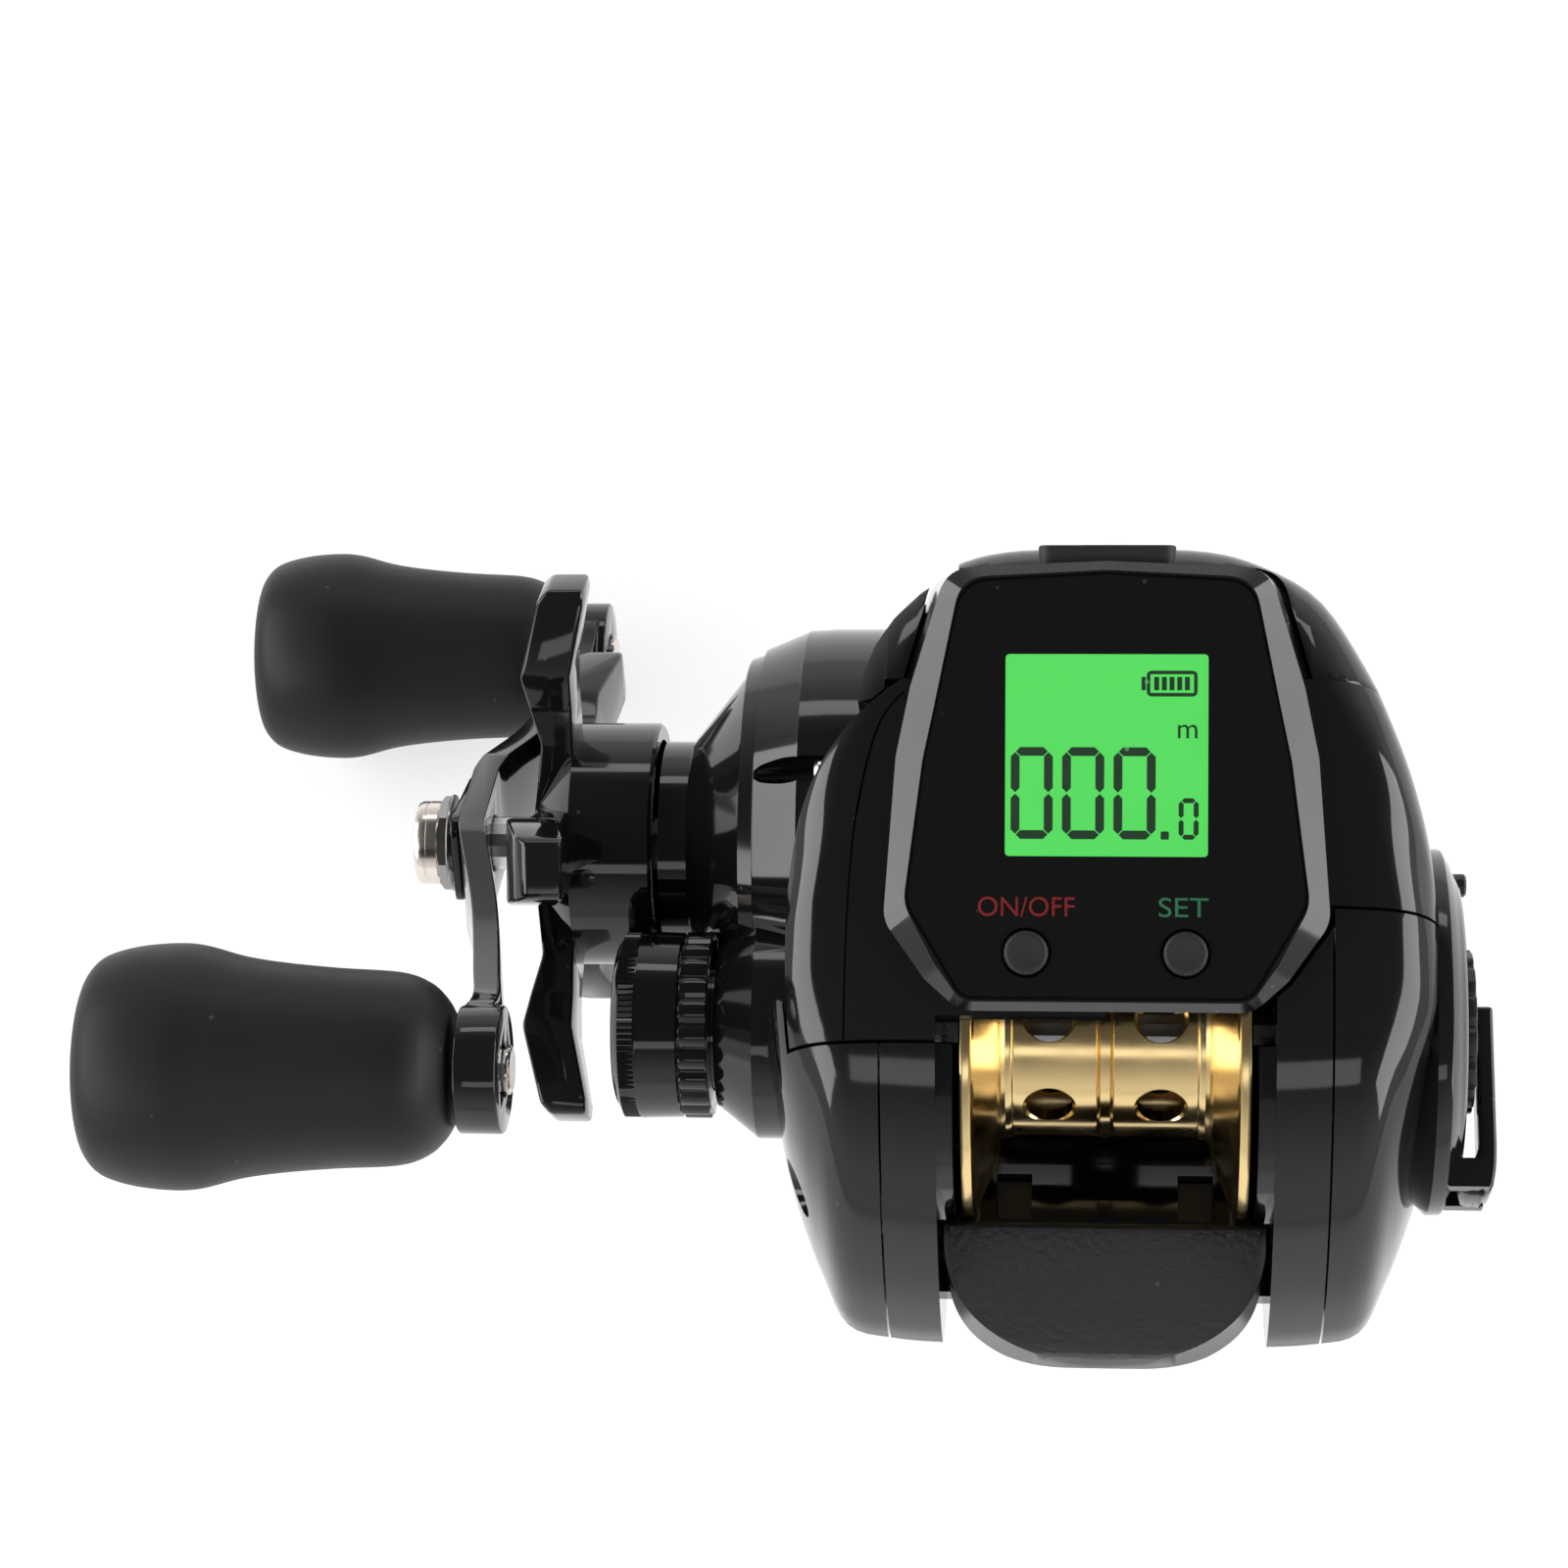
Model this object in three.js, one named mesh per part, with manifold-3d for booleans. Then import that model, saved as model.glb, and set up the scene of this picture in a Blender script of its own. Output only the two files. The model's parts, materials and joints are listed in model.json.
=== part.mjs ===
// A left-hand, low-profile baitcasting reel with a digital line counter.
// Units are millimetres. +X runs along the spool from the handle side to the palm side,
// +Y points to the rod tip and +Z up. The origin is the middle of the foot's flat underside.
import * as THREE from "three";
import { mergeVertices } from "three/addons/utils/BufferGeometryUtils.js";
import Module from "manifold-3d";

const wasm = await Module();
wasm.setup();

// Sizes shared by several pieces
const gap = 0.3; // clearance between pieces that meet
const seat = 0.2; // radial clearance of a shaft, bearing or pin in its seat
const fit = 0.05; // radial clearance of a shaft in a wheel that it carries
const overrun = 2; // how far a cutting tool runs past the face that it cuts
const wall = 1.8; // moulded wall of the covers
const weld = 1e-4;
const fine = 32;
const medium = 24;
const coarse = 14;
const small = 8;

// Axes of the turning parts, all parallel to X
const spoolAxis = { y: -5, z: 26 };
const crankAxis = { y: 15.3, z: 20 };
const wormAxis = { y: 23, z: 13.8 };

const frameWall = { inner: 15.1, outer: 20 };

// Shape of the closed body
const body = {
  gearWidth: 30.8, // from the middle out to the gear side
  palmWidth: 30.4,
  nose: 37.5,
  tail: 32.6,
  bottom: 4,
  top: 48.5,
  middle: 26,
  waist: -9, // y of the widest place
  coverSeam: frameWall.outer + seat, // |x| of the face where the side covers meet the frame
  noseSeam: 21.3, // y of the seam behind the nose cover
  deckSeam: 36, // z of the seam under the counter housing's shoulders
  gearSeam: -10.7, // y where the left shoulder ends
  palmSeam: 2.3, // y where the right shoulder ends
};
const shoulderWidth = 7.9;

// Stations outwards from the frame on the handle side, each a step beyond the last
const steps = {
  gears: 1, mainGear: 3.4, drag: 1.9, cone: 7.7, neck: 5.7, bossEnd: 2.7, starHub: 0.5, starArms: 8.8,
  armHub: 1.1, arm: 6.7, shaftEnd: 6.6,
};
const station = {};
for (const [name, step] of Object.entries(steps)) {
  const before = Object.values(station).at(-1) ?? body.coverSeam;
  station[name] = before + step;
}

const colours = {
  gloss: { color: 0x101012, roughness: 0.12, metalness: 0 },
  satin: { color: 0x17171a, roughness: 0.4, metalness: 0 },
  rubber: { color: 0x232425, roughness: 0.75, metalness: 0 },
  gold: { color: 0xd9b45a, roughness: 0.25, metalness: 1 },
  steel: { color: 0xb9bcc0, roughness: 0.25, metalness: 1 },
  nickel: { color: 0xd8ccc0, roughness: 0.15, metalness: 1 },
  brass: { color: 0xb89a4a, roughness: 0.35, metalness: 1 },
  lcd: { color: 0x4fe05a, roughness: 0.3, metalness: 0 },
  board: { color: 0x1d6b3a, roughness: 0.5, metalness: 0 },
  fibre: { color: 0x3a3a3c, roughness: 0.8, metalness: 0 },
  white: { color: 0xe9e9e4, roughness: 0.3, metalness: 0 },
};

// Solids

const axisX = new THREE.Vector3(1, 0, 0);
const axisY = new THREE.Vector3(0, 1, 0);
const axisZ = new THREE.Vector3(0, 0, 1);
const upright = new THREE.Matrix4();
const alongX = new THREE.Matrix4().makeBasis(axisY, axisZ, axisX);
const alongY = new THREE.Matrix4().makeBasis(axisX, axisZ, axisY.clone().negate());
const aroundX = new THREE.Matrix4().makeBasis(axisY, axisX, axisZ.clone().negate());

// A closed geometry as a solid whose faces point outwards
function toSolid(geometry, matrix = upright) {
  const bare = new THREE.BufferGeometry();
  bare.setAttribute("position", geometry.getAttribute("position").clone());
  bare.setIndex(geometry.index ? geometry.index.clone() : null);
  bare.applyMatrix4(matrix);
  const merged = mergeVertices(bare, weld);
  const triangles = [];
  for (let i = 0; i < merged.index.count; i += 3) {
    const corners = [0, 1, 2].map((k) => merged.index.getX(i + k));
    if (new Set(corners).size === corners.length) triangles.push(corners);
  }
  const build = (list) =>
    new wasm.Manifold(
      new wasm.Mesh({
        numProp: 3,
        vertProperties: new Float32Array(merged.attributes.position.array),
        triVerts: new Uint32Array(list.flat()),
      }),
    );
  const made = build(triangles);
  return made.volume() < 0 ? build(triangles.map((t) => t.toReversed())) : made;
}

// A flat outline pushed from one place to another along an axis
function prism(points, from, to, matrix) {
  const shape = new THREE.Shape(points.map(([a, b]) => new THREE.Vector2(a, b)));
  const geometry = new THREE.ExtrudeGeometry(shape, { depth: to - from, bevelEnabled: false });
  geometry.translate(0, 0, from);
  return toSolid(geometry, matrix);
}
const prismX = (points, x0, x1) => prism(points, x0, x1, alongX);
const prismY = (points, y0, y1) => prism(points, -y1, -y0, alongY);
const prismZ = (points, z0, z1) => prism(points, z0, z1, upright);

function block([x0, x1], [y0, y1], [z0, z1]) {
  const geometry = new THREE.BoxGeometry(x1 - x0, y1 - y0, z1 - z0);
  geometry.translate((x0 + x1) / 2, (y0 + y1) / 2, (z0 + z1) / 2);
  return toSolid(geometry);
}

// A closed profile of [x, radius] turned about an axis parallel to X
function turned(profile, axis, segments = medium) {
  const points = [...profile, profile[0]].map(([x, r]) => new THREE.Vector2(r, x));
  const geometry = new THREE.LatheGeometry(points, segments);
  return toSolid(geometry, aroundX).translate([0, axis.y, axis.z]);
}
const rod = (axis, x0, x1, r, segments = medium) =>
  turned([[x0, 0], [x0, r], [x1, r], [x1, 0]], axis, segments);
const ring = (axis, x0, x1, r0, r1, segments = medium) =>
  turned([[x0, r0], [x0, r1], [x1, r1], [x1, r0]], axis, segments);

// A skin over rings of equally many points, closed by a fan at each end
function loft(rings) {
  const count = rings[0].length;
  const points = rings.flat();
  const index = [];
  for (let r = 0; r + 1 < rings.length; r += 1) {
    for (let i = 0; i < count; i += 1) {
      const a = r * count + i;
      const b = r * count + ((i + 1) % count);
      index.push(a, b, b + count, a, b + count, a + count);
    }
  }
  [0, rings.length - 1].forEach((r, end) => {
    const centre = rings[r].reduce((sum, p) => sum.add(p), new THREE.Vector3());
    points.push(centre.divideScalar(count));
    for (let i = 0; i < count; i += 1) {
      const a = r * count + i;
      const b = r * count + ((i + 1) % count);
      index.push(...(end ? [points.length - 1, a, b] : [points.length - 1, b, a]));
    }
  });
  const geometry = new THREE.BufferGeometry().setFromPoints(points);
  geometry.setIndex(index);
  return toSolid(geometry);
}

const join = (...solids) => wasm.Manifold.union(solids);
const cut = (solid, ...tools) => solid.subtract(wasm.Manifold.union(tools));
const common = (...solids) => wasm.Manifold.intersection(solids);

// A smooth open curve through a few points, as a list of points
function smooth(points, steps) {
  const curve = new THREE.SplineCurve(points.map(([a, b]) => new THREE.Vector2(a, b)));
  return curve.getPoints(steps).map((p) => [p.x, p.y]);
}

// Outline with each corner rounded by its own radius: points are [a, b, radius]
function rounded(corners, steps = 4) {
  return corners.flatMap(([a, b, radius = 0], i) => {
    if (!radius) return [[a, b]];
    const here = new THREE.Vector2(a, b);
    const before = corners[(i + corners.length - 1) % corners.length];
    const after = corners[(i + 1) % corners.length];
    const start = new THREE.Vector2(before[0], before[1]).sub(here).setLength(radius).add(here);
    const end = new THREE.Vector2(after[0], after[1]).sub(here).setLength(radius).add(here);
    const bend = new THREE.QuadraticBezierCurve(start, here, end);
    return bend.getPoints(steps).map((p) => [p.x, p.y]);
  });
}

// Half an outline at positive a, carried round to the other side
const mirrored = (half) => [...half, ...half.filter(([a]) => a > weld).map(([a, b]) => [-a, b]).reverse()];

const circle = (radius, steps, a = 0, b = 0) =>
  Array.from({ length: steps }, (_, i) => {
    const angle = (2 * Math.PI * i) / steps;
    return [a + radius * Math.cos(angle), b + radius * Math.sin(angle)];
  });

const named = [];
function piece(name, solid, look) {
  const mesh = solid.getMesh();
  const geometry = new THREE.BufferGeometry();
  geometry.setAttribute("position", new THREE.BufferAttribute(mesh.vertProperties, 3));
  geometry.setIndex(new THREE.BufferAttribute(mesh.triVerts, 1));
  geometry.computeVertexNormals();
  const made = new THREE.Mesh(geometry, new THREE.MeshStandardMaterial(colours[look]));
  made.name = name;
  named.push(made);
}

// Body envelope

// Side outline, as shares of nose or tail length and of the height over or under the middle
const sideShares = [
  [-1, -0.5], [-0.985, -0.3], [-0.91, 0.05], [-0.76, 0.4], [-0.52, 0.73], [-0.22, 0.93], [0.13, 1],
  [0.44, 1], [0.71, 0.95], [0.9, 0.81], [0.98, 0.58], [1, 0.15], [0.96, -0.45], [0.84, -0.8],
  [0.6, -0.96], [0, -1], [-0.6, -0.96], [-0.88, -0.8],
];
// How the side outline draws in from the middle out to each side: the share of the half width,
// then the shares of the reach to the front, rear, top and bottom
const drawShares = [
  [0, 1, 1, 1, 1], [0.27, 1, 1, 1, 1], [0.45, 0.975, 1, 1, 1], [0.64, 0.9, 0.985, 1, 0.99],
  [0.78, 0.75, 0.94, 0.975, 0.95], [0.86, 0.625, 0.75, 0.94, 0.88], [0.92, 0.505, 0.56, 0.88, 0.79],
  [0.965, 0.37, 0.38, 0.79, 0.67], [1, 0.2, 0.17, 0.6, 0.45],
];

function sideOutline() {
  const over = body.top - body.middle;
  const under = body.middle - body.bottom;
  const points = [...sideShares, sideShares[0]].map(([a, b]) => [
    a * (a > 0 ? body.nose : body.tail),
    body.middle + b * (b > 0 ? over : under),
  ]);
  return smooth(points, 26).slice(1);
}

function envelope(inset) {
  const outline = sideOutline();
  const less = (length) => (length - inset) / length;
  const front = less(body.nose - body.waist);
  const rear = less(body.tail + body.waist);
  const top = less(body.top - body.middle);
  const bottom = less(body.middle - body.bottom);
  const ringAt = (side, [x, f, r, t, b]) =>
    outline.map(
      ([y, z]) =>
        new THREE.Vector3(
          side * x * ((side > 0 ? body.palmWidth : body.gearWidth) - inset),
          body.waist + (y - body.waist) * (y > body.waist ? f * front : r * rear),
          body.middle + (z - body.middle) * (z > body.middle ? t * top : b * bottom),
        ),
    );
  return loft([
    ...drawShares.slice(1).reverse().map((row) => ringAt(-1, row)),
    ...drawShares.map((row) => ringAt(1, row)),
  ]);
}

const outer = envelope(0);
const inner = envelope(wall);
const far = 3 * body.nose; // longer than the whole object in every direction

// Gear house: a drum around the main gear, with a boss around the crank's bearing
const house = { radius: 21, boss: 10, bore: 8.1, lobe: 10.6, lobeTip: 7.6, lobeBeyond: 2, pipe: 6 };
house.lobeEnd = station.cone + house.lobeBeyond;
house.pipeEnd = station.neck - gap;
const drumShares = [[0, 1], [0.6, 0.99], [0.82, 0.92], [0.93, 0.86], [1, 0.81]];

function houseSolid(inset) {
  const length = station.cone - body.coverSeam;
  const drum = drumShares.map(([a, b]) => [
    -body.coverSeam - a * (length - inset),
    house.radius * b - inset,
  ]);
  const boss = inset ? house.bore : house.boss;
  const profile = [
    [-body.coverSeam + overrun, 0],
    [-body.coverSeam + overrun, house.radius - inset],
    ...drum,
    [-station.neck + 3 * inset, boss],
    [-station.bossEnd - (inset ? overrun : 0), boss],
    [-station.bossEnd - (inset ? overrun : 0), 0],
  ];
  const lobe = turned(
    [
      [-house.lobeEnd + inset, 0], [-house.lobeEnd + inset, house.lobeTip - inset],
      [-station.cone + wall, house.lobe - inset], [-body.coverSeam, house.lobe - inset], [-body.coverSeam, 0],
    ],
    spoolAxis,
  );
  return join(turned(profile, crankAxis, fine), lobe);
}

const bodyOuter = join(outer, houseSolid(0));
const bodyInner = join(inner, houseSolid(wall));

// Counter housing: a raised block on the tilted display plane

const display = {
  tilt: 20, // degrees, towards the angler
  y: -10.5,
  z: 48.5,
  halfWidth: 19.3,
  length: 39.8,
  depth: 20,
  lip: 0.9,
  corner: 1.2,
  spreadXShare: 0.16,
  spreadYShare: 0.06,
};
// Half outlines as shares of the half width and the length
const blockShares = [[0, 0], [0.67, 0, 1], [0.82, 0.075], [1, 0.22, 1], [0.953, 0.565], [0.896, 0.666],
  [0.72, 0.94, 2], [0, 1]];
const glassShares = [[0, 0.025], [0.65, 0.025, 1], [0.915, 0.24, 1], [0.825, 0.56], [0.66, 0.927, 2],
  [0, 0.97]];
const glass = { pocket: 1.6, thick: 1.2, proud: 0.1 };
const lcd = { side: 18.2, alongShare: 0.568, thick: 0.9, frame: 1.2 };
lcd.along = lcd.alongShare * display.length;
const button = { radius: 1.95, x: 7, along: 5.2, proud: 0.5, travel: 0.5, flange: 2.7, flangeThick: 0.6 };
const bay = { roof: 3.4, side: 1.7, floor: 44.6, soffit: 43.2, spoolWall: 1 };
const port = {
  width: 9, height: 3.2, length: 6.4, shell: 0.5, depth: 5.7, coverWidth: 13.2, coverHeight: 6.6,
  coverThick: 1.5, coverSunk: 0.7, plug: 1.6,
};

const onDisplay = (solid) => solid.rotate([display.tilt, 0, 0]).translate([0, display.y, display.z]);
const middleAlong = display.length / 2;

function displayHalf(shares, inset = 0) {
  const scale = 1 - inset / middleAlong;
  return shares.map(([a, b, r = 0]) => [
    a * display.halfWidth * scale,
    middleAlong + (b * display.length - middleAlong) * scale,
    r * display.corner,
  ]);
}
const displayPlan = (shares, inset) => mirrored(rounded(displayHalf(shares, inset)));
const displaySlab = (shares, inset, low, high) => prismZ(displayPlan(shares, inset), low, high);

function displayRing(height, inset, shareX = 0, shareY = 0) {
  return displayPlan(blockShares, inset).map(
    ([x, s]) =>
      new THREE.Vector3(x * (1 + shareX), middleAlong + (s - middleAlong) * (1 + shareY), height),
  );
}

function counterBlock(grow) {
  return onDisplay(
    loft([
      displayRing(-display.depth, -grow, display.spreadXShare, display.spreadYShare),
      displayRing(-display.lip, -grow),
      displayRing(grow, display.lip - grow),
    ]),
  );
}

// The part of the body's skin that belongs to the housing's two shoulders
function shoulderRoom(grow) {
  const low = body.deckSeam - grow;
  const front = body.noseSeam + grow;
  return join(
    block([-body.coverSeam - shoulderWidth - grow, 0], [body.gearSeam - grow, front], [low, far]),
    block([-grow, far], [body.palmSeam - grow, front], [low, far]),
  );
}

const spool = {
  flange: 18.5, halfWidth: 13.1, rim: 1.2, dish: 3.5, hub: 10, fillet: 0.8, tube: 8.6, web: 0.9,
  groove: 0.5, grooveWidth: 0.8, hole: 2.15, holeX: 5.1, holes: 7, first: 20, room: 1.1,
};
const spoolRoomRadius = spool.flange + spool.room;
const spoolRoom = rod(spoolAxis, -frameWall.inner + gap, frameWall.inner - gap, spoolRoomRadius, fine);

function frontFace(low, high, halfX, halfDepth) {
  return block(
    [-halfX, halfX],
    [display.length - low, display.length + high],
    [-port.depth - halfDepth, -port.depth + halfDepth],
  );
}

function counterHousing() {
  const shoulders = cut(common(bodyOuter, shoulderRoom(0)), bodyInner);
  const whole = join(shoulders, counterBlock(0));
  const room = cut(
    onDisplay(displaySlab(blockShares, bay.side, -display.depth, -bay.roof)),
    block([-far, far], [-far, far], [-far, bay.floor]),
    rod(spoolAxis, -far, far, spoolRoomRadius + bay.spoolWall, fine),
  );
  const betweenWalls = block(
    [-frameWall.outer - gap, frameWall.outer + gap], [-far, far], [-far, bay.soffit],
  );
  const lens = lcd.side / 2 - lcd.frame;
  const wells = [-1, 1].map((side) =>
    prismZ(
      circle(button.flange + gap, small, side * button.x, button.along),
      -glass.pocket - button.flangeThick - button.travel - seat,
      0,
    ),
  );
  const openings = onDisplay(
    join(
      displaySlab(glassShares, -gap, -glass.pocket, overrun),
      block(
        [-lens, lens], [lcd.along - lens, lcd.along + lens], [-bay.roof - overrun, 0],
      ),
      ...wells,
      frontFace(port.length + overrun, overrun, port.width / 2 + gap, port.height / 2 + gap),
      frontFace(port.coverSunk, 2 * overrun, port.coverWidth / 2 + gap, port.coverHeight / 2 + gap),
    ),
  );
  const below = block([-far, far], [-far, far], [-far, body.deckSeam]);
  return cut(whole, room, betweenWalls, spoolRoom, openings, below);
}

function fasciaPanel() {
  const lens = lcd.side / 2;
  const slab = displaySlab(glassShares, 0, -glass.proud - glass.thick, -glass.proud);
  const holes = [-1, 1].map((side) =>
    prismZ(circle(button.radius + seat, small, side * button.x, button.along), -overrun, overrun),
  );
  const window = block(
    [-lens - seat, lens + seat], [lcd.along - lens - seat, lcd.along + lens + seat], [-overrun, overrun],
  );
  return onDisplay(cut(slab, window, ...holes));
}

function lcdScreen() {
  const lens = lcd.side / 2;
  const top = -glass.proud - seat;
  return onDisplay(
    block([-lens, lens], [lcd.along - lens, lcd.along + lens], [top - lcd.thick, top]),
  );
}

const board = { halfWidth: 12.5, length: 19.9, top: 3.8, thick: 1 };
const cell = { halfWidth: 11, length: 13.4, top: 5.4, thick: 3.6, corner: 1 };

// Both stop short of the charging socket's inner end
const socketFace = port.coverSunk + gap + port.plug;
const electricsEnd = display.length - socketFace - port.length - gap;

function circuitBoard() {
  return onDisplay(
    block(
      [-board.halfWidth, board.halfWidth],
      [electricsEnd - board.length, electricsEnd],
      [-board.top - board.thick, -board.top],
    ),
  );
}

function batteryCell() {
  const w = cell.halfWidth;
  const start = electricsEnd - cell.length;
  const plan = rounded([
    [-w, start, cell.corner], [w, start, cell.corner],
    [w, electricsEnd, cell.corner], [-w, electricsEnd, cell.corner],
  ]);
  return onDisplay(prismZ(plan, -cell.top - cell.thick, -cell.top));
}

function usbSocket() {
  const sleeve = frontFace(
    socketFace + port.length, -socketFace, port.width / 2, port.height / 2,
  );
  const mouth = frontFace(
    socketFace + port.length - port.shell, overrun, port.width / 2 - port.shell, port.height / 2 - port.shell,
  );
  return onDisplay(cut(sleeve, mouth));
}

// Flap over the socket, with a plug that fills the mouth
function portCover() {
  const flap = block(
    [-port.coverWidth / 2, port.coverWidth / 2],
    [display.length - port.coverSunk + gap, display.length + port.coverThick],
    [-port.depth - port.coverHeight / 2, -port.depth + port.coverHeight / 2],
  );
  const plug = frontFace(
    port.coverSunk + port.plug - gap, 0, port.width / 2 - port.shell, port.height / 2 - port.shell,
  );
  return onDisplay(join(flap, plug));
}

function pushButton(side) {
  const top = -glass.proud + button.proud;
  const flangeTop = -glass.proud - glass.thick - seat;
  const stem = prismZ(circle(button.radius, small, side * button.x, button.along), flangeTop - seat, top);
  const flange = prismZ(
    circle(button.flange, small, side * button.x, button.along), flangeTop - button.flangeThick, flangeTop,
  );
  return onDisplay(join(stem, flange));
}

// Covers

const nose = { window: 12.2, sill: 18, head: 30.5 };

function spoolBearing([x0, x1]) {
  return ring(spoolAxis, x0, x1, shaft.spool + seat, bearing.spoolOuter, coarse);
}

function crankBearing([x0, x1]) {
  return ring(crankAxis, x0, x1, shaft.crank + seat, house.bore - seat, coarse);
}

function frontCover() {
  const room = block([-body.coverSeam, far], [body.noseSeam, far], [-far, far]);
  const shell = cut(common(outer, room), inner);
  const behindGear = houseSolid(-gap);
  const lineWindow = block([-nose.window, nose.window], [body.noseSeam, far], [nose.sill, nose.head]);
  return cut(shell, behindGear, counterBlock(gap), lineWindow);
}

const bearing = { width: 2.8, clutchWidth: 4.4, spoolOuter: 4 };
const shaft = { crank: 3.2, tip: 2.6, spool: 1.5 };

// Screws that hold the gear side cover, each in a pocket that opens towards the handle
const coverScrew = { head: 1.6, headThick: 1.1, shank: 0.9, post: 1.4, room: 0.5 };
const drumPost = { depth: 1.7, floor: 1.2, beyondDrag: 2.2 };
drumPost.end = station.drag + drumPost.beyondDrag;
drumPost.seat = drumPost.end + drumPost.floor;
const rearPost = { inset: 11.4, drop: 3.5, depth: 4.9 };
const onDrum = (degrees) => ({
  y: crankAxis.y + (house.radius - drumPost.depth) * Math.cos((degrees * Math.PI) / 180),
  z: crankAxis.z + (house.radius - drumPost.depth) * Math.sin((degrees * Math.PI) / 180),
});
const coverScrews = {
  top: { at: onDrum(90), seat: drumPost.seat, end: drumPost.end },
  front: { at: onDrum(-38), seat: drumPost.seat, end: drumPost.end },
  rear: {
    at: { y: rearPost.inset - body.tail, z: spoolAxis.z - rearPost.drop },
    seat: body.gearWidth - rearPost.depth,
    end: body.coverSeam + gap,
  },
};

function screwPost({ at, end }) {
  const postRadius = coverScrew.head + coverScrew.room + coverScrew.post;
  return common(rod(at, -far, -end, postRadius, coarse), bodyOuter);
}

function screwPocket({ at, seat: x, end }) {
  return join(
    rod(at, -far, -x, coverScrew.head + coverScrew.room, coarse),
    rod(at, -far, -end - gap, coverScrew.shank + seat, small),
  );
}

function coverScrewSolid({ at, seat: x, end }) {
  return join(
    rod(at, -x - coverScrew.headThick - seat, -x - seat, coverScrew.head, coarse),
    rod(at, -x - coverScrew.headThick, -end - 2 * gap, coverScrew.shank, small),
  );
}

function gearSideCover() {
  const room = block([-far, -body.coverSeam], [-far, far], [-far, far]);
  const shell = cut(common(bodyOuter, room), bodyInner);
  const pipe = rod(spoolAxis, -house.pipeEnd, -house.lobeEnd + wall, house.pipe);
  const whole = join(shell, pipe, ...Object.values(coverScrews).map(screwPost));
  return cut(
    whole,
    ...Object.values(coverScrews).map(screwPocket),
    shoulderRoom(gap),
    counterBlock(gap),
    rod(crankAxis, -far, -station.drag, house.bore),
    rod(spoolAxis, -house.pipeEnd + wall, 0, house.pipe - wall),
    rod(spoolAxis, -far, 0, shaft.spool + gap, small),
    cut(
      rod(spoolAxis, -far, -cap.start + gap, cap.radius + gap, fine),
      rod(spoolAxis, -far, 0, house.pipe, fine),
    ),
  );
}

const plate = { radius: 17, sunk: 0.9, proud: 2, rimShare: 0.82, hubIn: 0.6, hub: 5.8, play: 0.7 };
plate.edge = body.palmWidth - plate.sunk;
plate.face = body.palmWidth + plate.proud;
plate.hubStart = frameWall.inner + plate.hubIn;
const lever = {
  fromRim: 2.4, offFace: 1, pin: 0.8, knuckle: 1.6, halfWidth: 2.4, lug: 1.6, reach: 16.4, lift: 0.7,
  thick: 1.6,
};
lever.x = plate.face + lever.offFace;
lever.y = spoolAxis.y - plate.radius + lever.fromRim;
lever.z = spoolAxis.z;

function palmSideCover() {
  const room = block([body.coverSeam, far], [-far, body.noseSeam - gap], [-far, far]);
  const shell = cut(common(outer, room), inner);
  const disc = turned(
    [
      [plate.edge - wall, 0], [plate.edge - wall, plate.radius - wall], [plate.edge, plate.radius],
      [plate.face - wall, plate.radius], [plate.face, plate.radius * plate.rimShare], [plate.face, 0],
    ],
    spoolAxis, fine,
  );
  const hub = ring(spoolAxis, plate.hubStart, plate.face - wall, bearing.spoolOuter + seat, plate.hub);
  const lugs = [-1, 1].map((side) => {
    const inside = side * (lever.halfWidth + gap);
    const outside = side * (lever.halfWidth + gap + lever.lug);
    return block(
      [plate.edge, lever.x + lever.knuckle],
      [lever.y - lever.knuckle, lever.y + lever.knuckle],
      [lever.z + Math.min(inside, outside), lever.z + Math.max(inside, outside)],
    );
  });
  return cut(
    join(shell, disc, hub, ...lugs),
    shoulderRoom(gap),
    counterBlock(gap),
    leverKnuckle(gap),
    rod(spoolAxis, plate.edge - wall - overrun, far, brake.stem + gap, medium),
    leverPin(seat),
    rod({ y: brake.pegY, z: spoolAxis.z }, plate.face - wall, far, brake.peg + seat, small),
  );
}

// Brake dial with its shaft and magnet carrier, and the small peg that marks its setting
const brake = {
  radius: 7.6, thick: 1.1, scallops: 14, scallop: 1.1, stem: 2.6, carrier: 3.6, carrierRoom: 2.4,
  peg: 1.1, pegIn: 2.6, pegRise: 1.4,
};
brake.carrierEnd = plate.hubStart + bearing.width + brake.carrierRoom;
brake.pegY = spoolAxis.y + plate.radius - brake.pegIn;

const bearingSeats = {
  spoolLeft: [-frameWall.outer + gap, -frameWall.inner - gap],
  spoolRight: [plate.hubStart + gap, plate.hubStart + gap + bearing.width],
  antiReverse: [-station.neck + seat, -station.neck + seat + bearing.clutchWidth],
  shaft: [-station.bossEnd + gap, -station.neck - seat],
};

function brakeDial() {
  const face = plate.face + gap;
  const dial = rod(spoolAxis, face, face + brake.thick, brake.radius, fine);
  const bites = circle(brake.radius + brake.scallop / 2, brake.scallops).map(([a, b]) =>
    rod({ y: spoolAxis.y + a, z: spoolAxis.z + b }, face - overrun, far, brake.scallop, small / 2),
  );
  const stem = rod(spoolAxis, brake.carrierEnd, face + brake.thick / 2, brake.stem, coarse);
  const carrier = rod(spoolAxis, brake.carrierEnd, plate.edge - wall - gap, brake.carrier, coarse);
  return join(cut(dial, ...bites), stem, carrier);
}

function dialPeg() {
  const at = { y: brake.pegY, z: spoolAxis.z };
  return rod(at, plate.face - wall + gap, plate.face + brake.pegRise, brake.peg, small);
}

function leverKnuckle(grow) {
  return prismZ(
    circle(lever.knuckle + grow, small, lever.x, lever.y),
    lever.z - lever.halfWidth - grow,
    lever.z + lever.halfWidth + grow,
  );
}

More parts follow.
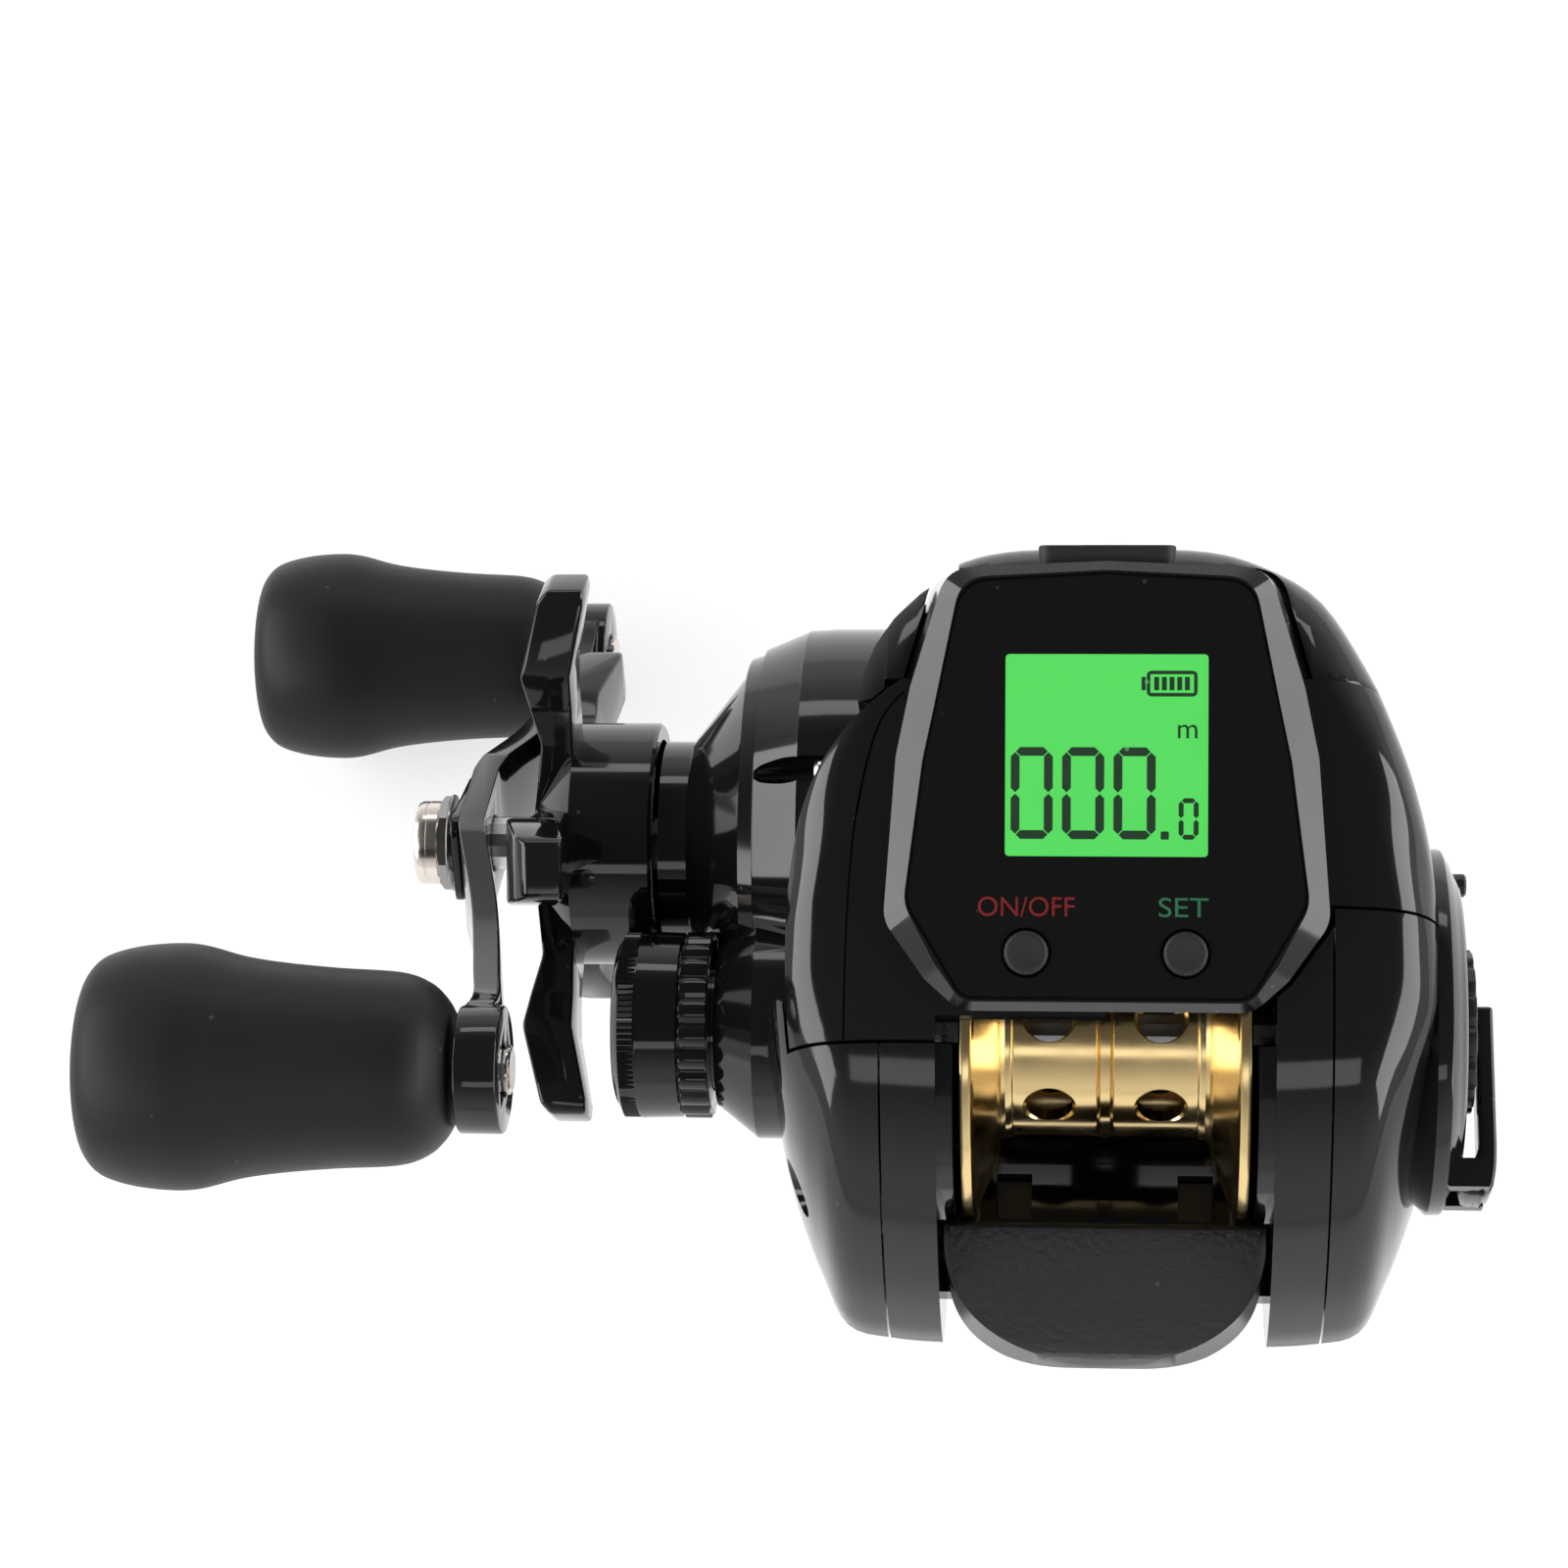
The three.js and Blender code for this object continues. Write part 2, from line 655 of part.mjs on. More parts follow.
function leverPin(grow) {
  const half = lever.halfWidth + lever.lug + grow;
  return prismZ(circle(lever.pin + grow, small, lever.x, lever.y), lever.z - half, lever.z + half);
}

function sideLockLever() {
  const low = lever.x + lever.knuckle - lever.thick + lever.lift;
  const y = lever.y;
  const side = [
    [lever.x - lever.knuckle / 2, y], [lever.x + lever.knuckle, y - lever.knuckle],
    [low + lever.thick, y + lever.knuckle], [low + lever.thick, y + lever.reach],
    [low, y + lever.reach], [low, y + 2 * lever.knuckle], [lever.x, y + lever.knuckle],
  ];
  const bail = prismZ(side, lever.z - lever.halfWidth, lever.z + lever.halfWidth);
  return join(bail, leverKnuckle(0), leverPin(0));
}

// Frame and foot

const floor = { thick: 1.8, rearTop: 11, front: 22, bar: 3, barY: -25, barZ: 8.4, topBarY: 16, topBarZ: 40 };
const drain = { inner: 7, outer: 10.4, rear: -19.5, front: -14.5 }; // |x| and y of the slots in the pan
const foot = {
  length: 60, halfWidth: 6.6, tipShare: 0.6, thick: 2.6, tipThick: 1.1, stemLength: 26, stemTop: 3.7,
  screwY: 9, screwHead: 2.1, screwShank: 1.1, sink: 0.5, headThick: 1.1,
};
const guide = {
  halfWidth: 3.6, back: 19.4, front: 28, bottom: 10.4, bore: 2.5, slotWidth: 2,
  slotLow: 21, slotHigh: 27.4, corner: 1, rodY: 23, rodZ: 33, rod: 1.2,
};
const worm = { radius: 2.3, core: 1.8, end: 1.4, gear: 4.4, gearThick: 1.5, teeth: 18, grooves: 7 };
const guideRodAxis = { y: guide.rodY, z: guide.rodZ };

function frame() {
  const walls = [-1, 1].map((side) => {
    const faces = [side * frameWall.inner, side * frameWall.outer].sort((a, b) => a - b);
    return common(outer, block(faces, [-far, far], [-far, far]));
  });
  const skinRoom = cut(
    join(
      shoulderRoom(gap),
      block([-far, far], [body.noseSeam - gap, far], [-far, far]),
    ),
    envelope(wall + gap),
  );
  const between = [-frameWall.outer, frameWall.outer];
  const bottom = common(outer, block(between, [-far, floor.front], [-far, floor.rearTop]));
  const pan = common(
    rod(spoolAxis, -frameWall.outer, frameWall.outer, spoolRoomRadius + floor.thick, fine),
    block(between, [-far, spoolAxis.y], [-far, floor.rearTop]),
  );
  const base = join(
    common(bottom, block(between, [-far, far], [-far, body.bottom + floor.thick + gap])),
    pan,
  );
  const rearBar = block(
    between, [floor.barY - floor.bar / 2, floor.barY + floor.bar / 2],
    [floor.barZ - floor.bar / 2, floor.barZ + floor.bar / 2],
  );
  const topBar = block(
    between, [floor.topBarY - floor.bar, floor.topBarY], [floor.topBarZ - floor.bar, floor.topBarZ],
  );
  const palmMouth = rod(spoolAxis, 0, far, spool.flange - plate.play, fine);
  const bores = [
    rod(spoolAxis, -far, 0, bearing.spoolOuter + seat, coarse),
    rod(crankAxis, -far, 0, shaft.crank + seat, coarse),
    rod(wormAxis, -far, far, worm.radius + seat, coarse),
    rod(guideRodAxis, -far, far, guide.rod + seat, small),
    ...[-1, 1].map((side) =>
      prismZ(circle(foot.screwShank + seat, small, 0, side * foot.screwY), 0, far),
    ),
    ...[[-drain.outer, -drain.inner], [drain.inner, drain.outer]].map((across) =>
      block(across, [drain.rear, drain.front], [-far, floor.rearTop + overrun]),
    ),
  ];
  return cut(
    join(...walls, base, rearBar, topBar),
    spoolRoom,
    skinRoom,
    counterBlock(gap),
    block([-far, far], [body.gearSeam, far], [bay.soffit - gap, far]),
    palmMouth,
    ...bores,
  );
}

function reelFoot() {
  const end = foot.length / 2;
  const tip = foot.tipShare * foot.halfWidth;
  const plan = rounded([
    [-foot.halfWidth, -foot.stemLength / 2], [-tip, -end, foot.tipThick],
    [tip, -end, foot.tipThick], [foot.halfWidth, -foot.stemLength / 2],
    [foot.halfWidth, foot.stemLength / 2], [tip, end, foot.tipThick],
    [-tip, end, foot.tipThick], [-foot.halfWidth, foot.stemLength / 2],
  ]);
  const side = [
    [-end, 0], [end, 0], [end, foot.tipThick], [foot.stemLength / 2 + foot.thick, foot.thick],
    [foot.stemLength / 2, foot.stemTop], [-foot.stemLength / 2, foot.stemTop],
    [-foot.stemLength / 2 - foot.thick, foot.thick], [-end, foot.tipThick],
  ];
  const blade = common(
    prismZ(plan, 0, foot.stemTop),
    prismX(side, -foot.halfWidth, foot.halfWidth),
  );
  const bores = [-foot.screwY, foot.screwY].flatMap((y) => [
    prismZ(circle(foot.screwShank + seat, small, 0, y), -overrun, far),
    prismZ(circle(foot.screwHead + seat, small, 0, y), -overrun, foot.sink + foot.headThick + seat),
  ]);
  return cut(blade, ...bores);
}

function footScrew(side) {
  const y = side * foot.screwY;
  return join(
    prismZ(circle(foot.screwHead, small, 0, y), foot.sink, foot.sink + foot.headThick),
    prismZ(circle(foot.screwShank, small, 0, y), foot.sink, body.bottom + floor.thick),
  );
}

// Spool

function spoolDrum() {
  const half = [
    [spool.web, shaft.spool + fit], [spool.web, spool.tube], [spool.halfWidth - spool.rim, spool.tube],
    [spool.halfWidth, spool.flange - 2 * spool.rim], [spool.halfWidth, spool.flange],
    [spool.halfWidth - spool.rim, spool.flange],
    [spool.halfWidth - spool.dish, spool.hub + spool.fillet],
    [spool.halfWidth - spool.dish - spool.fillet, spool.hub],
    [spool.grooveWidth, spool.hub], [spool.grooveWidth / 2, spool.hub - spool.groove],
  ];
  const profile = [...half, ...half.map(([x, r]) => [-x, r]).reverse()];
  const drum = turned(profile, spoolAxis, medium);
  const holes = [-1, 1].flatMap((side) =>
    Array.from({ length: spool.holes }, (_, i) => {
      const angle = spool.first + (360 * i) / spool.holes;
      return prismZ(circle(spool.hole, 6, side * spool.holeX, 0), spool.tube / 2, spool.hub + overrun)
        .rotate([angle, 0, 0])
        .translate([0, spoolAxis.y, spoolAxis.z]);
    }),
  );
  return cut(drum, ...holes);
}

// Gears

// Teeth run in a zigzag; a tip points along the given angle
function gear(axis, x0, x1, root, tip, teeth, bore, phase) {
  const outline = Array.from({ length: 2 * teeth }, (_, i) => {
    const angle = phase + (Math.PI * i) / teeth;
    const r = i % 2 ? root : tip;
    return [r * Math.cos(angle), r * Math.sin(angle)];
  });
  const wheel = prismX(outline, x0, x1).translate([0, axis.y, axis.z]);
  return cut(wheel, rod(axis, x0 - overrun, x1 + overrun, bore, coarse));
}

const between = (a, b) => Math.hypot(b.y - a.y, b.z - a.z);
const heading = (a, b) => Math.atan2(b.z - a.z, b.y - a.y);
const tooth = { height: 0.9, play: 0.25 };
const pinion = { tip: 3.3, teeth: 10, start: 20.6, groove: 21.5, collar: 23.1, end: 31, bore: 1.7 };
pinion.root = pinion.tip - tooth.height;
const mainTeeth = 72;
const mainTip = between(crankAxis, spoolAxis) - pinion.root - tooth.play;
const crankTeeth = 36;
const crankGearTip = between(crankAxis, wormAxis) - worm.gear + tooth.height - 2 * tooth.play;
const yoke = { thick: 0.9, travel: 1.2, halfWidth: 3.4, reach: 11, pin: 1, slot: 2.4 };

function mainGear() {
  return gear(
    crankAxis, -station.drag, -station.mainGear, mainTip - tooth.height, mainTip, mainTeeth,
    shaft.crank + seat, heading(crankAxis, spoolAxis) + Math.PI / mainTeeth,
  );
}

const dragDisc = { thick: 0.9, washerShare: 0.7, plateShare: 0.66 };

function dragWasher() {
  const start = station.drag + gap;
  return ring(
    crankAxis, -start - dragDisc.thick, -start, shaft.crank + seat, dragDisc.washerShare * mainTip,
  );
}

function dragPlate() {
  const start = station.drag + 2 * gap + dragDisc.thick;
  return ring(
    crankAxis, -start - dragDisc.thick, -start, shaft.crank + seat, dragDisc.plateShare * mainTip,
  );
}

function crankGear() {
  return gear(
    crankAxis, -station.gears - worm.gearThick, -station.gears, crankGearTip - tooth.height,
    crankGearTip, crankTeeth, shaft.crank + seat, heading(crankAxis, wormAxis) + Math.PI / crankTeeth,
  );
}

function driveShaft() {
  const start = -frameWall.inner - gap;
  return turned(
    [
      [start, 0], [start, shaft.crank], [-station.starHub, shaft.crank], [-station.starHub, shaft.tip],
      [-station.shaftEnd, shaft.tip], [-station.shaftEnd, 0],
    ],
    crankAxis, coarse,
  );
}

function pinionGear() {
  const teeth = gear(
    spoolAxis, -pinion.end, -pinion.collar, pinion.root, pinion.tip, pinion.teeth, pinion.bore,
    heading(spoolAxis, crankAxis),
  );
  const neck = ring(spoolAxis, -pinion.collar, -pinion.groove, pinion.bore, pinion.root, small);
  const collar = ring(spoolAxis, -pinion.groove, -pinion.start, pinion.bore, pinion.tip, small);
  return join(teeth, neck, collar);
}

function clutchYoke() {
  const x1 = -pinion.groove - seat;
  const x0 = -pinion.collar + seat;
  const half = yoke.halfWidth;
  const plateSolid = block(
    [x0, x1], [spoolAxis.y - half, spoolAxis.y + half],
    [spoolAxis.z - yoke.reach, spoolAxis.z + yoke.reach],
  );
  const slot = block(
    [-far, far],
    [spoolAxis.y - pinion.root - seat, spoolAxis.y + far],
    [spoolAxis.z - yoke.slot, spoolAxis.z + yoke.slot],
  );
  const eyes = [-1, 1].map((side) =>
    rod({ y: spoolAxis.y, z: spoolAxis.z + side * (yoke.reach - half / 2) }, -far, 0, yoke.pin + seat, small),
  );
  return cut(plateSolid, slot, ...eyes);
}

function yokePin(side) {
  const at = { y: spoolAxis.y, z: spoolAxis.z + side * (yoke.reach - yoke.halfWidth / 2) };
  return rod(at, -pinion.collar - yoke.travel - overrun, -frameWall.outer - gap, yoke.pin, small);
}

function wormShaft() {
  const start = -station.gears - worm.gearThick - wall / 2;
  const end = frameWall.outer - wall;
  const profile = [
    [start, 0], [start, worm.end], [-station.gears + gap, worm.end], [-frameWall.outer, worm.radius],
  ];
  const from = -frameWall.inner + gap;
  const pitch = (-2 * from) / worm.grooves;
  for (let i = 0; i < worm.grooves; i += 1) {
    const x = from + i * pitch;
    profile.push([x, worm.radius], [x + pitch / 2, worm.core]);
  }
  profile.push([-from, worm.radius], [end, worm.radius], [end, 0]);
  return turned(profile, wormAxis, small);
}

function wormGear() {
  return gear(
    wormAxis, -station.gears - worm.gearThick, -station.gears, worm.gear - tooth.height, worm.gear,
    worm.teeth, worm.end + seat, heading(wormAxis, crankAxis),
  );
}

function lineGuide() {
  const c = guide.corner;
  const top = guide.rodZ + guide.rod + wall;
  const side = rounded([
    [guide.back, guide.bottom, c], [guide.front - c, guide.bottom, c],
    [guide.front, guide.slotLow - c, c], [guide.front, guide.slotHigh + c, c],
    [guide.rodY + 2 * guide.rod + wall, top, c], [guide.rodY - guide.rod - wall, top, c],
  ], 2);
  return cut(
    prismX(side, -guide.halfWidth, guide.halfWidth),
    rod(wormAxis, -far, far, guide.bore, coarse),
    rod(guideRodAxis, -far, far, guide.rod + seat, small),
    block([-guide.slotWidth / 2, guide.slotWidth / 2], [-far, far], [guide.slotLow, guide.slotHigh]),
  );
}

// Crank, star wheel and knobs

const arm = {
  y: -31.4, z: 27.9, straight: 8, halfWidth: 5.6, thick: 2.5, hub: 5.7, hubThick: 3.9, bore: 2.4,
};
const armReach = Math.hypot(arm.y, arm.z);
const armAngle = (Math.atan2(arm.z, arm.y) * 180) / Math.PI;
// Edge of the arm: shares of the reach and of the bend
const armEdgeShares = [[0.87, 0.14], [0.73, 0.26], [0.43, 0.56]];
const armShares = {
  tipBend: 0.12, nearBend: 0.95, near: 0.9, flat: 0.5, root: 1.25, middle: 0.5, waist: 0.62,
};
// Outline of the arm's end: shares of the hub's radius, along the arm and across it
const armEndShares = [[-1.4, 0.71], [-0.4, 0.93], [0.5, 0.86], [1, 0]];
const onCrank = (solid, angle = armAngle) =>
  solid.rotate([angle, 0, 0]).translate([0, crankAxis.y, crankAxis.z]);
const crankPoint = (side) => ({ y: crankAxis.y + side * arm.y, z: crankAxis.z + side * arm.z });

function handleArm() {
  const bend = station.arm - station.armHub;
  // Edge of the arm as [distance from the shaft, x of the inner face]
  const inside = smooth(
    [
      [armReach + arm.hub, -station.armHub - armShares.tipBend * bend],
      ...armEdgeShares.map(([a, b]) => [a * armReach, -station.armHub - b * bend]),
      [armShares.near * arm.straight, -station.armHub - armShares.nearBend * bend],
      [armShares.flat * arm.straight, -station.arm],
    ],
    12,
  );
  const edge = [...inside, ...inside.map(([s, x]) => [-s, x]).reverse()];
  const outline = [...edge, ...edge.map(([s, x]) => [s, x - arm.thick]).reverse()];
  const strip = prism(outline, -arm.halfWidth, arm.halfWidth, aroundX);
  const planHalf = [
    [0, armShares.root * arm.hub],
    [arm.straight, arm.halfWidth],
    [armShares.middle * armReach, armShares.waist * arm.halfWidth],
    ...armEndShares.map(([a, b]) => [armReach + a * arm.hub, b * arm.hub]),
  ];
  const quarter = smooth(planHalf, 18);
  const above = [...quarter.map(([s, w]) => [-s, w]).reverse(), ...quarter.slice(1)];
  const plan = [...above, ...above.slice(1, -1).map(([s, w]) => [s, -w]).reverse()];
  const blade = common(strip, prismX(plan, -far, 0));
  const hubs = [-1, 1].map((side) =>
    rod({ y: side * armReach, z: 0 }, -station.armHub - arm.hubThick, -station.armHub, arm.hub, coarse),
  );
  const bores = [-1, 1].map((side) => rod({ y: side * armReach, z: 0 }, -far, 0, arm.bore, small));
  const centre = rod({ y: 0, z: 0 }, -far, 0, shaft.tip + seat, coarse);
  return onCrank(cut(join(blade, ...hubs), ...bores, centre));
}

const nut = {
  hex: 4.4, hexShare: 0.35, flange: 4.8, height: 3.6, plate: 0.8, plateLength: 9.2, plateTipShare: 0.6,
  plateCorner: 1,
};
// Flange of the nut: shares of its height and radius
const nutRimShares = [[0.55, 0], [0.45, 0.9], [0.3, 1], [0, 1], [0, 0]];
const nutBase = station.arm + arm.thick;

function nutLockPlate() {
  const x = nutBase + gap;
  const tip = nut.plateTipShare * nut.hex;
  const c = nut.plateCorner;
  const plan = rounded([
    [-nut.plateLength, -tip, c], [nut.hex, -nut.flange, 2 * c], [nut.hex, nut.flange, 2 * c],
    [-nut.plateLength, tip, c],
  ]);
  const strip = cut(prismX(plan, -x - nut.plate, -x), rod({ y: 0, z: 0 }, -far, 0, shaft.tip + seat, coarse));
  return onCrank(strip);
}

function handleNut() {
  const start = nutBase + nut.plate + 2 * gap;
  const grip = prismX(circle(nut.hex, 6), -start - nut.height, -start - nut.hexShare * nut.height);
  const profile = nutRimShares.map(([a, b]) => [-start - a * nut.height, b * nut.flange]);
  const rim = turned(profile, { y: 0, z: 0 }, coarse);
  const bore = rod({ y: 0, z: 0 }, -far, 0, shaft.tip + seat, coarse);
  return onCrank(cut(join(grip, rim), bore));
}

const star = {
  hub: 11.8, cup: 10.2, web: 2.6, arms: 5, first: 43, reach: 27.1, thick: 4.4, rootWidth: 8, kneeWidth: 8.4,
  tipWidth: 6, tipCorner: 1, knee: 18.8, neck: 15.4, bulge: 3.1, tipIn: 1.2,
};
// Shares of the bulge, and below them of the cup, the root's width and the tip's corner
const starShares = {
  hubOut: 0.4, neckOut: 0.8, kneeOut: 1.25, tipOut: 0.65, kneeIn: 1.5,
  dome: 0.62, root: 0.5, neckWidth: 0.36, heel: 1.5,
};

function starDrag() {
  const outerFace = -station.starArms;
  const shell = turned(
    [
      [-station.starHub, star.cup], [-station.starHub, star.hub], [outerFace + wall / 2, star.hub],
      [outerFace, star.hub - wall / 2], [outerFace - star.bulge, starShares.dome * star.cup],
      [outerFace - star.bulge, shaft.tip + seat], [outerFace + star.web, shaft.tip + seat],
      [outerFace + star.web, star.cup],
    ],
    crankAxis, medium,
  );
  const root = starShares.root * star.cup;
  const back = outerFace + wall / 2;
  const tip = outerFace - starShares.tipOut * star.bulge;
  const c = star.tipCorner;
  const side = [
    [outerFace - star.bulge, root], [outerFace - starShares.hubOut * star.bulge, star.hub],
    [outerFace - starShares.neckOut * star.bulge, star.neck],
    [outerFace - starShares.kneeOut * star.bulge, star.knee],
    [tip, star.reach - c], [tip + c, star.reach], [tip + star.thick, star.reach],
    [tip + star.thick, star.reach - starShares.heel * c],
    [outerFace - starShares.kneeIn * star.bulge + star.thick + star.tipIn, star.knee],
    [back, star.neck], [back, star.hub - wall], [back, root],
  ];
  const edgeOn = prismY(side, -star.rootWidth, star.rootWidth);
  const planHalf = [
    [star.rootWidth / 2, root], [star.rootWidth / 2, star.hub],
    [starShares.neckWidth * star.rootWidth, star.neck], [star.kneeWidth / 2, star.knee],
    [star.tipWidth / 2, star.reach - c], [star.tipWidth / 2 - c, star.reach + c],
  ];
  const plan = [...planHalf, ...planHalf.map(([w, r]) => [-w, r]).reverse()];
  const faceOn = prism(plan, -far, 0, alongX);
  const oneArm = common(edgeOn, faceOn);
  const arms = Array.from({ length: star.arms }, (_, i) =>
    oneArm
      .rotate([star.first - 90 + (360 * i) / star.arms, 0, 0])
      .translate([0, crankAxis.y, crankAxis.z]),
  );
  return join(shell, ...arms);
}

const knob = {
  neck: 4.5, length: 32.7, radius: 11, flatShare: 0.97, bore: 2.3, boreLength: 24, cap: 6.4, capDeep: 1.6,
  capThick: 0.9,
};
knob.start = station.armHub + knob.neck;
knob.end = knob.start + knob.length;
const knobShares = [
  [0, 0.66], [0.02, 0.82], [0.06, 0.89], [0.13, 0.97], [0.23, 1], [0.31, 0.985], [0.42, 0.9], [0.53, 0.85],
  [0.68, 0.81], [0.85, 0.78], [0.93, 0.69], [0.98, 0.57], [1, 0.44],
];
const spindle = { radius: 2, head: 2.2, headThick: 0.3, length: 22 };

function gripKnob(side) {
  const rings = knobShares.map(([a, r]) =>
    circle(r * knob.radius, coarse).map(
      ([u, v]) => new THREE.Vector3(-knob.end + a * knob.length, u, v * knob.flatShare),
    ),
  );
  const flatTo = (solid) => onCrank(solid.translate([0, side * armReach, 0]));
  const centre = { y: 0, z: 0 };
  return flatTo(
    cut(
      loft(rings),
      rod(centre, -knob.start - knob.boreLength, 0, knob.bore, small),
      rod(centre, -far, -knob.end + knob.capDeep, knob.cap, coarse),
    ),
  );
}

function knobCap(side) {
  return rod(
    crankPoint(side), -knob.end + knob.capDeep - gap - knob.capThick, -knob.end + knob.capDeep - gap,
    knob.cap - seat, coarse,
  );
}

function knobSpindle(side) {
  const head = -station.armHub + gap + spindle.headThick;
  return turned(
    [
      [head, 0], [head, spindle.head], [head - spindle.headThick, spindle.head],
      [head - spindle.headThick, spindle.radius], [-knob.start - spindle.length, spindle.radius],
      [-knob.start - spindle.length, 0],
    ],
    crankPoint(side), small,
  );
}

// Controls at the back and on the spool's axis

const cap = { radius: 8.8, beyondPipe: 6.2, offLobe: 0.5, band: 2.8, knurls: 18, knurl: 0.5, crown: 1.1 };
cap.start = house.lobeEnd + cap.offLobe;
cap.end = house.pipeEnd + cap.beyondPipe;

function castControlCap() {
  const coarseEnd = -cap.start - cap.band;
  const shell = turned(
    [
      [-cap.start, house.pipe + seat], [-cap.start, cap.radius - cap.knurl],
      [coarseEnd, cap.radius - cap.knurl],
      [coarseEnd, cap.radius - cap.knurl / 2], [-cap.end + 2 * cap.crown, cap.radius],
      [-cap.end + cap.crown, cap.radius], [-cap.end, cap.radius - cap.crown], [-cap.end, 0],
      [-house.pipeEnd - wall, 0], [-house.pipeEnd - wall, house.pipe + seat],
    ],
    spoolAxis, fine,
  );
  const ribs = circle(cap.radius - cap.knurl, cap.knurls).map(([a, b]) =>
    rod({ y: spoolAxis.y + a, z: spoolAxis.z + b }, coarseEnd, -cap.start, cap.knurl, 4),
  );
  return join(shell, ...ribs);
}

const thumb = { front: -24.4, play: 0.4 };
thumb.halfWidth = frameWall.inner - thumb.play;
// Side outline of the thumb bar as shares of its length behind the front face and of its height
const thumbBox = { length: 10.8, height: 12, bottom: 14 };
const thumbSideShares = [
  [0, 0.25], [0, 0.9], [-0.05, 0.97], [-0.12, 1], [-0.5, 0.8], [-0.9, 0.5], [-0.98, 0.36], [-1, 0.22],
  [-0.95, 0.08], [-0.85, 0], [-0.3, 0.02],
];
const thumbPlanShares = [
  [1, 0], [1, -0.5], [0.82, -0.54], [0.79, -0.7], [0.62, -0.86], [0.36, -0.96], [0, -1],
];

function thumbBar() {
  const side = thumbSideShares.map(([a, b]) => [
    thumb.front + a * thumbBox.length, thumbBox.bottom + b * thumbBox.height,
  ]);
  const planPoints = thumbPlanShares.map(([a, b]) => [
    a * thumb.halfWidth, thumb.front + b * thumbBox.length,
  ]);
  const half = smooth(planPoints, 10);
  const edge = [...half, ...half.slice(0, -1).map(([x, y]) => [-x, y]).reverse()];
  return common(prismX(side, -thumb.halfWidth, thumb.halfWidth), prismZ(edge, 0, far));
}

function spoolShaft() {
  return rod(spoolAxis, -house.pipeEnd + wall / 2, plate.hubStart + bearing.width, shaft.spool, small);
}

function guideRod() {
  return rod(guideRodAxis, -frameWall.outer + seat, frameWall.outer - seat, guide.rod, small);
}

const list = {
  frame: [frame, "satin"],
  reel_foot: [reelFoot, "satin"],
  foot_screw_front: [() => footScrew(1), "steel"],
  foot_screw_rear: [() => footScrew(-1), "steel"],
  front_cover: [frontCover, "gloss"],
  counter_housing: [counterHousing, "gloss"],
  fascia_panel: [fasciaPanel, "gloss"],
  lcd_screen: [lcdScreen, "lcd"],
  circuit_board: [circuitBoard, "board"],
  battery_cell: [batteryCell, "steel"],
  usb_socket: [usbSocket, "steel"],
  port_cover: [portCover, "rubber"],
  power_button: [() => pushButton(-1), "rubber"],
  set_button: [() => pushButton(1), "rubber"],
  gear_side_cover: [gearSideCover, "gloss"],
  palm_side_cover: [palmSideCover, "gloss"],
  brake_dial: [brakeDial, "satin"],
  dial_peg: [dialPeg, "satin"],
  side_lock_lever: [sideLockLever, "satin"],
  spool: [spoolDrum, "gold"],
  spool_shaft: [spoolShaft, "steel"],
  main_gear: [mainGear, "brass"],
  drag_washer: [dragWasher, "fibre"],
  drag_plate: [dragPlate, "steel"],
  crank_gear: [crankGear, "brass"],
  drive_shaft: [driveShaft, "steel"],
  pinion_gear: [pinionGear, "brass"],
  clutch_yoke: [clutchYoke, "satin"],
  yoke_pin_upper: [() => yokePin(1), "steel"],
  yoke_pin_lower: [() => yokePin(-1), "steel"],
  worm_shaft: [wormShaft, "steel"],
  worm_gear: [wormGear, "white"],
  line_guide: [lineGuide, "satin"],
  guide_rod: [guideRod, "steel"],
  handle_arm: [handleArm, "gloss"],
  nut_lock_plate: [nutLockPlate, "satin"],
  handle_nut: [handleNut, "nickel"],
  star_drag: [starDrag, "gloss"],
  rear_knob: [() => gripKnob(1), "rubber"],
  front_knob: [() => gripKnob(-1), "rubber"],
  rear_knob_cap: [() => knobCap(1), "gloss"],
  front_knob_cap: [() => knobCap(-1), "gloss"],
  rear_spindle: [() => knobSpindle(1), "steel"],
  front_spindle: [() => knobSpindle(-1), "steel"],
  cast_control_cap: [castControlCap, "gloss"],
  cover_screw_top: [() => coverScrewSolid(coverScrews.top), "steel"],
  cover_screw_front: [() => coverScrewSolid(coverScrews.front), "steel"],
  cover_screw_rear: [() => coverScrewSolid(coverScrews.rear), "steel"],
  spool_bearing_left: [() => spoolBearing(bearingSeats.spoolLeft), "steel"],
  spool_bearing_right: [() => spoolBearing(bearingSeats.spoolRight), "steel"],
  anti_reverse_bearing: [() => crankBearing(bearingSeats.antiReverse), "steel"],
  shaft_bearing: [() => crankBearing(bearingSeats.shaft), "steel"],
  thumb_bar: [thumbBar, "rubber"],
};
for (const [name, [make, look]] of Object.entries(list)) piece(name, make(), look);

const reel = new THREE.Group();
reel.add(...named);
export default reel;
